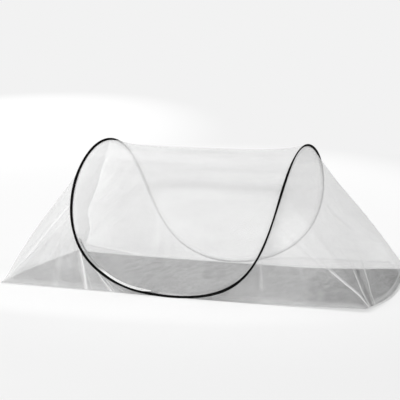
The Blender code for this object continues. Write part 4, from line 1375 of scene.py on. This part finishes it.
def addHems(layers, tone, cloth, start, foot, end):
    # Closer cloth in the turned edges: by the hoop, and up to a seam above the floor
    fromFoot = np.linalg.norm(cloth - foot, axis=2)
    fromHoop = np.linalg.norm(cloth - start, axis=2)
    layers += net["hoopHemLayers"] * smoothStep((net["hoopHem"] - fromHoop) / 0.003)
    atEnd = np.abs(foot[..., 0]) > floorCloth["length"] / 2 - binding["width"]
    low, rear = atEnd & (end["side"] > 0), foot[..., 1] > 0
    deep = rear | low
    hem = np.where(low, net["endHem"], np.where(deep, net["rearHem"], net["frontHem"]))
    sharp = net["rearHemLayers"] * end["hemShown"] * smoothStep((hem - fromFoot) / 0.003)
    soft = net["frontHemLayers"] * smoothStep((hem - fromFoot) / hem)
    layers += np.where(deep, sharp, soft)
    half, closer, lighter = net["seam"]
    seam = np.exp(-((fromFoot - hem) / half) ** 2) * deep * end["hemShown"]
    layers += closer * seam
    tone += lighter * seam
    height, closer, lighter = net["glint"]
    glint = smoothStep((height - fromFoot) / 0.004) * rear * ~atEnd
    layers += closer * glint
    tone += lighter * glint


def clothArea(points, faces):
    # Two triangles to a cell
    a, b, c, d = (points[faces[:, corner]] for corner in range(4))
    return float((np.linalg.norm(np.cross(b - a, c - a), axis=1)
                  + np.linalg.norm(np.cross(c - a, d - a), axis=1)).sum() / 2)


def flatBox(corners):
    # The smallest of the boxes round the cut, turned a degree at a time
    sizes = []
    for turn in np.radians(np.arange(90)):
        turned = corners @ np.array([[math.cos(turn), -math.sin(turn)],
                                     [math.sin(turn), math.cos(turn)]])
        sizes.append(np.ptp(turned, axis=0))
    best = min(sizes, key=np.prod)
    return float(best.min()), float(best.max())


# Studio

camera = {
    "lens": 99.93,
    "place": (2.0159, -5.6279, 1.3200),
    "yawDeg": 19.872,
    "pitchDeg": 8.394,
    "rollDeg": -0.185,
}
light = {
    "skyStrength": 0.66,
    "backdropGrey": 0.888,        # what the camera sees far behind the tent
    "lightPoolGrey": 1.03,             # and in the painted pools of light on the floor
    "nearShare": 0.7,             # how much of the floor's colour the light can't change
    "farFrom": 2.0,               # from here on that share grows to all of it
    "farTo": 7.0,
    # Each painted pool of light is an ellipse: middle, half length, half width, and its length's
    # direction
    "lightPools": (((-0.9, 2.9), 4.3, 2.3, 109.9), ((-6.4, 8.3), 10.0, 3.2, 109.9),
              ((-0.45, -0.55), 1.3, 0.46, 0.0)),
    "floorGrey": 0.80,
    "floorRadius": 60.0,
    "floorSides": 48,
    # Each lamp: place, size and power
    "lamps": {"keyLamp": ((-4.2, -4.6, 5.2), 3.2, 330.0),
              "fillLamp": ((4.5, 3.5, 4.5), 4.0, 60.0)},
    "aim": (0.0, 0.0, 0.3),
}


def linkAt(thing, spot, *ways):
    # Links a camera or a lamp at a spot, with its own X, Y and Z along three ways
    bpy.context.scene.collection.objects.link(thing)
    thing.matrix_world = Matrix.Translation(spot) @ Matrix(ways).transposed().to_4x4()


def makeCamera():
    # Looks ahead by its yaw and pitch, rolled about that way
    yaw, pitch, roll = (math.radians(camera[key]) for key in ("yawDeg", "pitchDeg", "rollDeg"))
    ahead = np.array((-math.sin(yaw) * math.cos(pitch), math.cos(yaw) * math.cos(pitch),
                      -math.sin(pitch)))
    right = np.array((math.cos(yaw), math.sin(yaw), 0.0))
    up = np.cross(right, ahead)
    data = bpy.data.cameras.new("studioCamera")
    data.lens = camera["lens"]
    data.clip_end = 200.0
    eye = bpy.data.objects.new("studioCamera", data)
    linkAt(eye, camera["place"], math.cos(roll) * right + math.sin(roll) * up,
           -math.sin(roll) * right + math.cos(roll) * up, -ahead)
    bpy.context.scene.camera = eye


def addLamp(name, spot, size, power):
    # A square lamp that faces the tent
    data = bpy.data.lights.new(name, "AREA")
    data.shape = "SQUARE"
    data.size = size
    data.energy = power
    back = unit(np.array(spot) - np.array(light["aim"]))
    right = unit(np.cross((0.0, 0.0, 1.0), back))
    linkAt(bpy.data.objects.new(name, data), spot, right, np.cross(back, right), back)


def makeSky():
    # The camera sees a plain backdrop, and a white sky lights the tent
    world = bpy.data.worlds.new("studioSky")
    bpy.context.scene.world = world
    world.use_nodes = True
    sky = Shade("", world.node_tree)
    seen = sky.add("ShaderNodeBackground", (), {"Color": grey(light["backdropGrey"])})
    lit = sky.add("ShaderNodeBackground", (), {"Color": grey(1.0),
                                               "Strength": light["skyStrength"]})
    mixed = sky.add("ShaderNodeMixShader", (), (sky.seen(), lit, seen))
    sky.add("ShaderNodeOutputWorld", (), {"Surface": mixed})


def floorPaint():
    # Pale paint that keeps the tent's shadow and passes into the backdrop's grey, with painted
    # pools of light
    shade = Shade("studioFloorPaint")
    grain = shade.noise(shade.objectPoint(), 3.0)
    level = light["floorGrey"]
    lit = shade.add("ShaderNodeBsdfPrincipled", (), {
        "Base Color": shade.mixed(grain, grey(level), grey(level + 0.01)), "Roughness": 0.9})
    # A painted pool of light fades as a smooth step of the squared distance in its ellipse
    x, y = shade.split(shade.objectPoint())[:2]
    dark = 1.0
    for (left, back), length, width, degrees in light["lightPools"]:
        ahead = (math.cos(math.radians(degrees)), math.sin(math.radians(degrees)))
        long = (x - left) * (ahead[0] / length) + (y - back) * (ahead[1] / length)
        wide = (x - left) * (ahead[1] / width) - (y - back) * (ahead[0] / width)
        inside = (1.35 - (long * long + wide * wide)).clamped()
        dark = dark * (1.0 - inside * inside * (3.0 - 2.0 * inside))
    glow = shade.add("ShaderNodeEmission", (), {"Color": shade.mixed(
        1.0 - dark, grey(light["backdropGrey"]), grey(light["lightPoolGrey"]))})
    away = (x * x + y * y) ** 0.5
    far = ((away - light["farFrom"]) / (light["farTo"] - light["farFrom"])).clamped()
    share = far * (1.0 - light["nearShare"]) + light["nearShare"]
    mixed = shade.add("ShaderNodeMixShader", (), (shade.seen() * share, lit, glow))
    shade.add("ShaderNodeOutputMaterial", (), {"Surface": mixed})
    return shade.material


def makeGround(finish):
    # A flat disc of rings just under the tent
    sides = light["floorSides"]
    rings = np.concatenate([[0.02], np.geomspace(1.0, light["floorRadius"], 10)])[:, None]
    turn = np.arange(sides) * (2 * math.pi / sides)
    points = np.stack(np.broadcast_arrays(rings * np.cos(turn), rings * np.sin(turn), -0.0004),
                      axis=-1)
    faces = gridCells(len(rings), sides, wrapColumns=True)[0]
    addMesh("studioFloor", points, [faces[:, ::-1], np.arange(sides)[None]], finish,
                     smooth=False)


makeCamera()
makeSky()
makeGround(floorPaint())
for name, (spot, size, power) in light["lamps"].items():
    addLamp(name, spot, size, power)
print("camera and studio ready")


# Assembly

def dress(piece, slotName, *nodes):
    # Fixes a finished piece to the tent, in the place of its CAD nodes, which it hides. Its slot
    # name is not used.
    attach(piece, "tent")
    if nodes:
        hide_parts(*nodes)
    return piece


whiteTape = whiteTapeFinish("whiteBindingTape", 0.0012, 0.72)
zipTape = whiteTapeFinish("whiteZipperTape", 0.0009, 0.97, 0.15, zipper["shadedHeights"])
whiteThread = threadFinish("whiteThread", 0.82)

floorPiece, floorPoints, floorFaces = makeFloor(floorFinish())
dress(floorPiece, "floor_cloth", "floor_panel")
for name, longEdge, face, node in (
        ("frontFloorBinding", True, -1, "front_floor_binding"),
        ("rearFloorBinding", True, 1, "rear_floor_binding"),
        ("leftFloorBinding", False, -1, "left_floor_binding"),
        ("rightFloorBinding", False, 1, "right_floor_binding")):
    dress(makeBinding(name, longEdge, face, whiteTape), "binding", node)
dress(makeBindingStitches(whiteThread), "binding")
print("floor and bindings ready")

sleevePiece, sleeveStitches = makeSleeve(blackTapeFinish(), threadFinish("blackThread", 0.006))
dress(sleevePiece, "sleeve_tape", "hoop_sleeve")
dress(sleeveStitches, "sleeve_tape")
dress(makeWire(metalFinish("springSteelWire", (0.45, 0.46, 0.47), 0.3, 400.0)),
      "spring_steel", "spring_hoop_wire")
dress(makeFerrule(metalFinish("ferruleSteel", (0.55, 0.55, 0.56), 0.35, 500.0)),
      "spring_steel", "hoop_ferrule")
print("hoop ready")

roofNet, roofPoints, roofFaces = makeRoofNet(netFinish("roofNetMesh", 5.0))
dress(roofNet, "net", "roof_net")
endFinish = netFinish("endNetMesh", 6.5)
endNets = [makeEndNet("leftEndNet", leftEnd, endFinish),
           makeEndNet("rightEndNet", rightEnd, endFinish)]
dress(endNets[0][0], "net", "left_end_net")
dress(endNets[1][0], "net", "right_end_net")
print("nets ready")

tapes, coils = makeTapes(zipTape), makeCoils(coilFinish())
zipStitches = makeZipperStitches(whiteThread)
for part, pair in (("tape", tapes), ("coil", coils)):
    for piece, side in zip(pair, ("hoop", "door")):
        dress(piece, f"zipper_{part}", f"zipper_{part}_{side}_side")
dress(zipStitches, "zipper_tape")
print("zipper ready")

plated = metalFinish("platedZipperMetal", (0.72, 0.72, 0.71), 0.22, 900.0)
for node in ("zipper_slider", "outer_pull", "inner_pull", "zipper_bottom_stop",
             "zipper_top_stop"):
    for material in frame["nodes"][node].material_slots:
        material.material = plated

floorSize = (floorCloth["width"], 2 * endReach(0.0))
min(clothArea(floorPoints, floorFaces), floorSize[0] * floorSize[1])
roofSize = (2 * float(np.abs(roofPoints[:, 0]).max()), 2 * float(profileLength(0.0)))
clothArea(roofPoints, roofFaces)
for piece, points, faces, size in endNets:
    clothArea(points, faces)
print("sheets declared: roof", np.round(roofSize, 3), "ends",
      [np.round(made[3], 3) for made in endNets])

bpy.context.scene.view_settings.view_transform = "Standard"
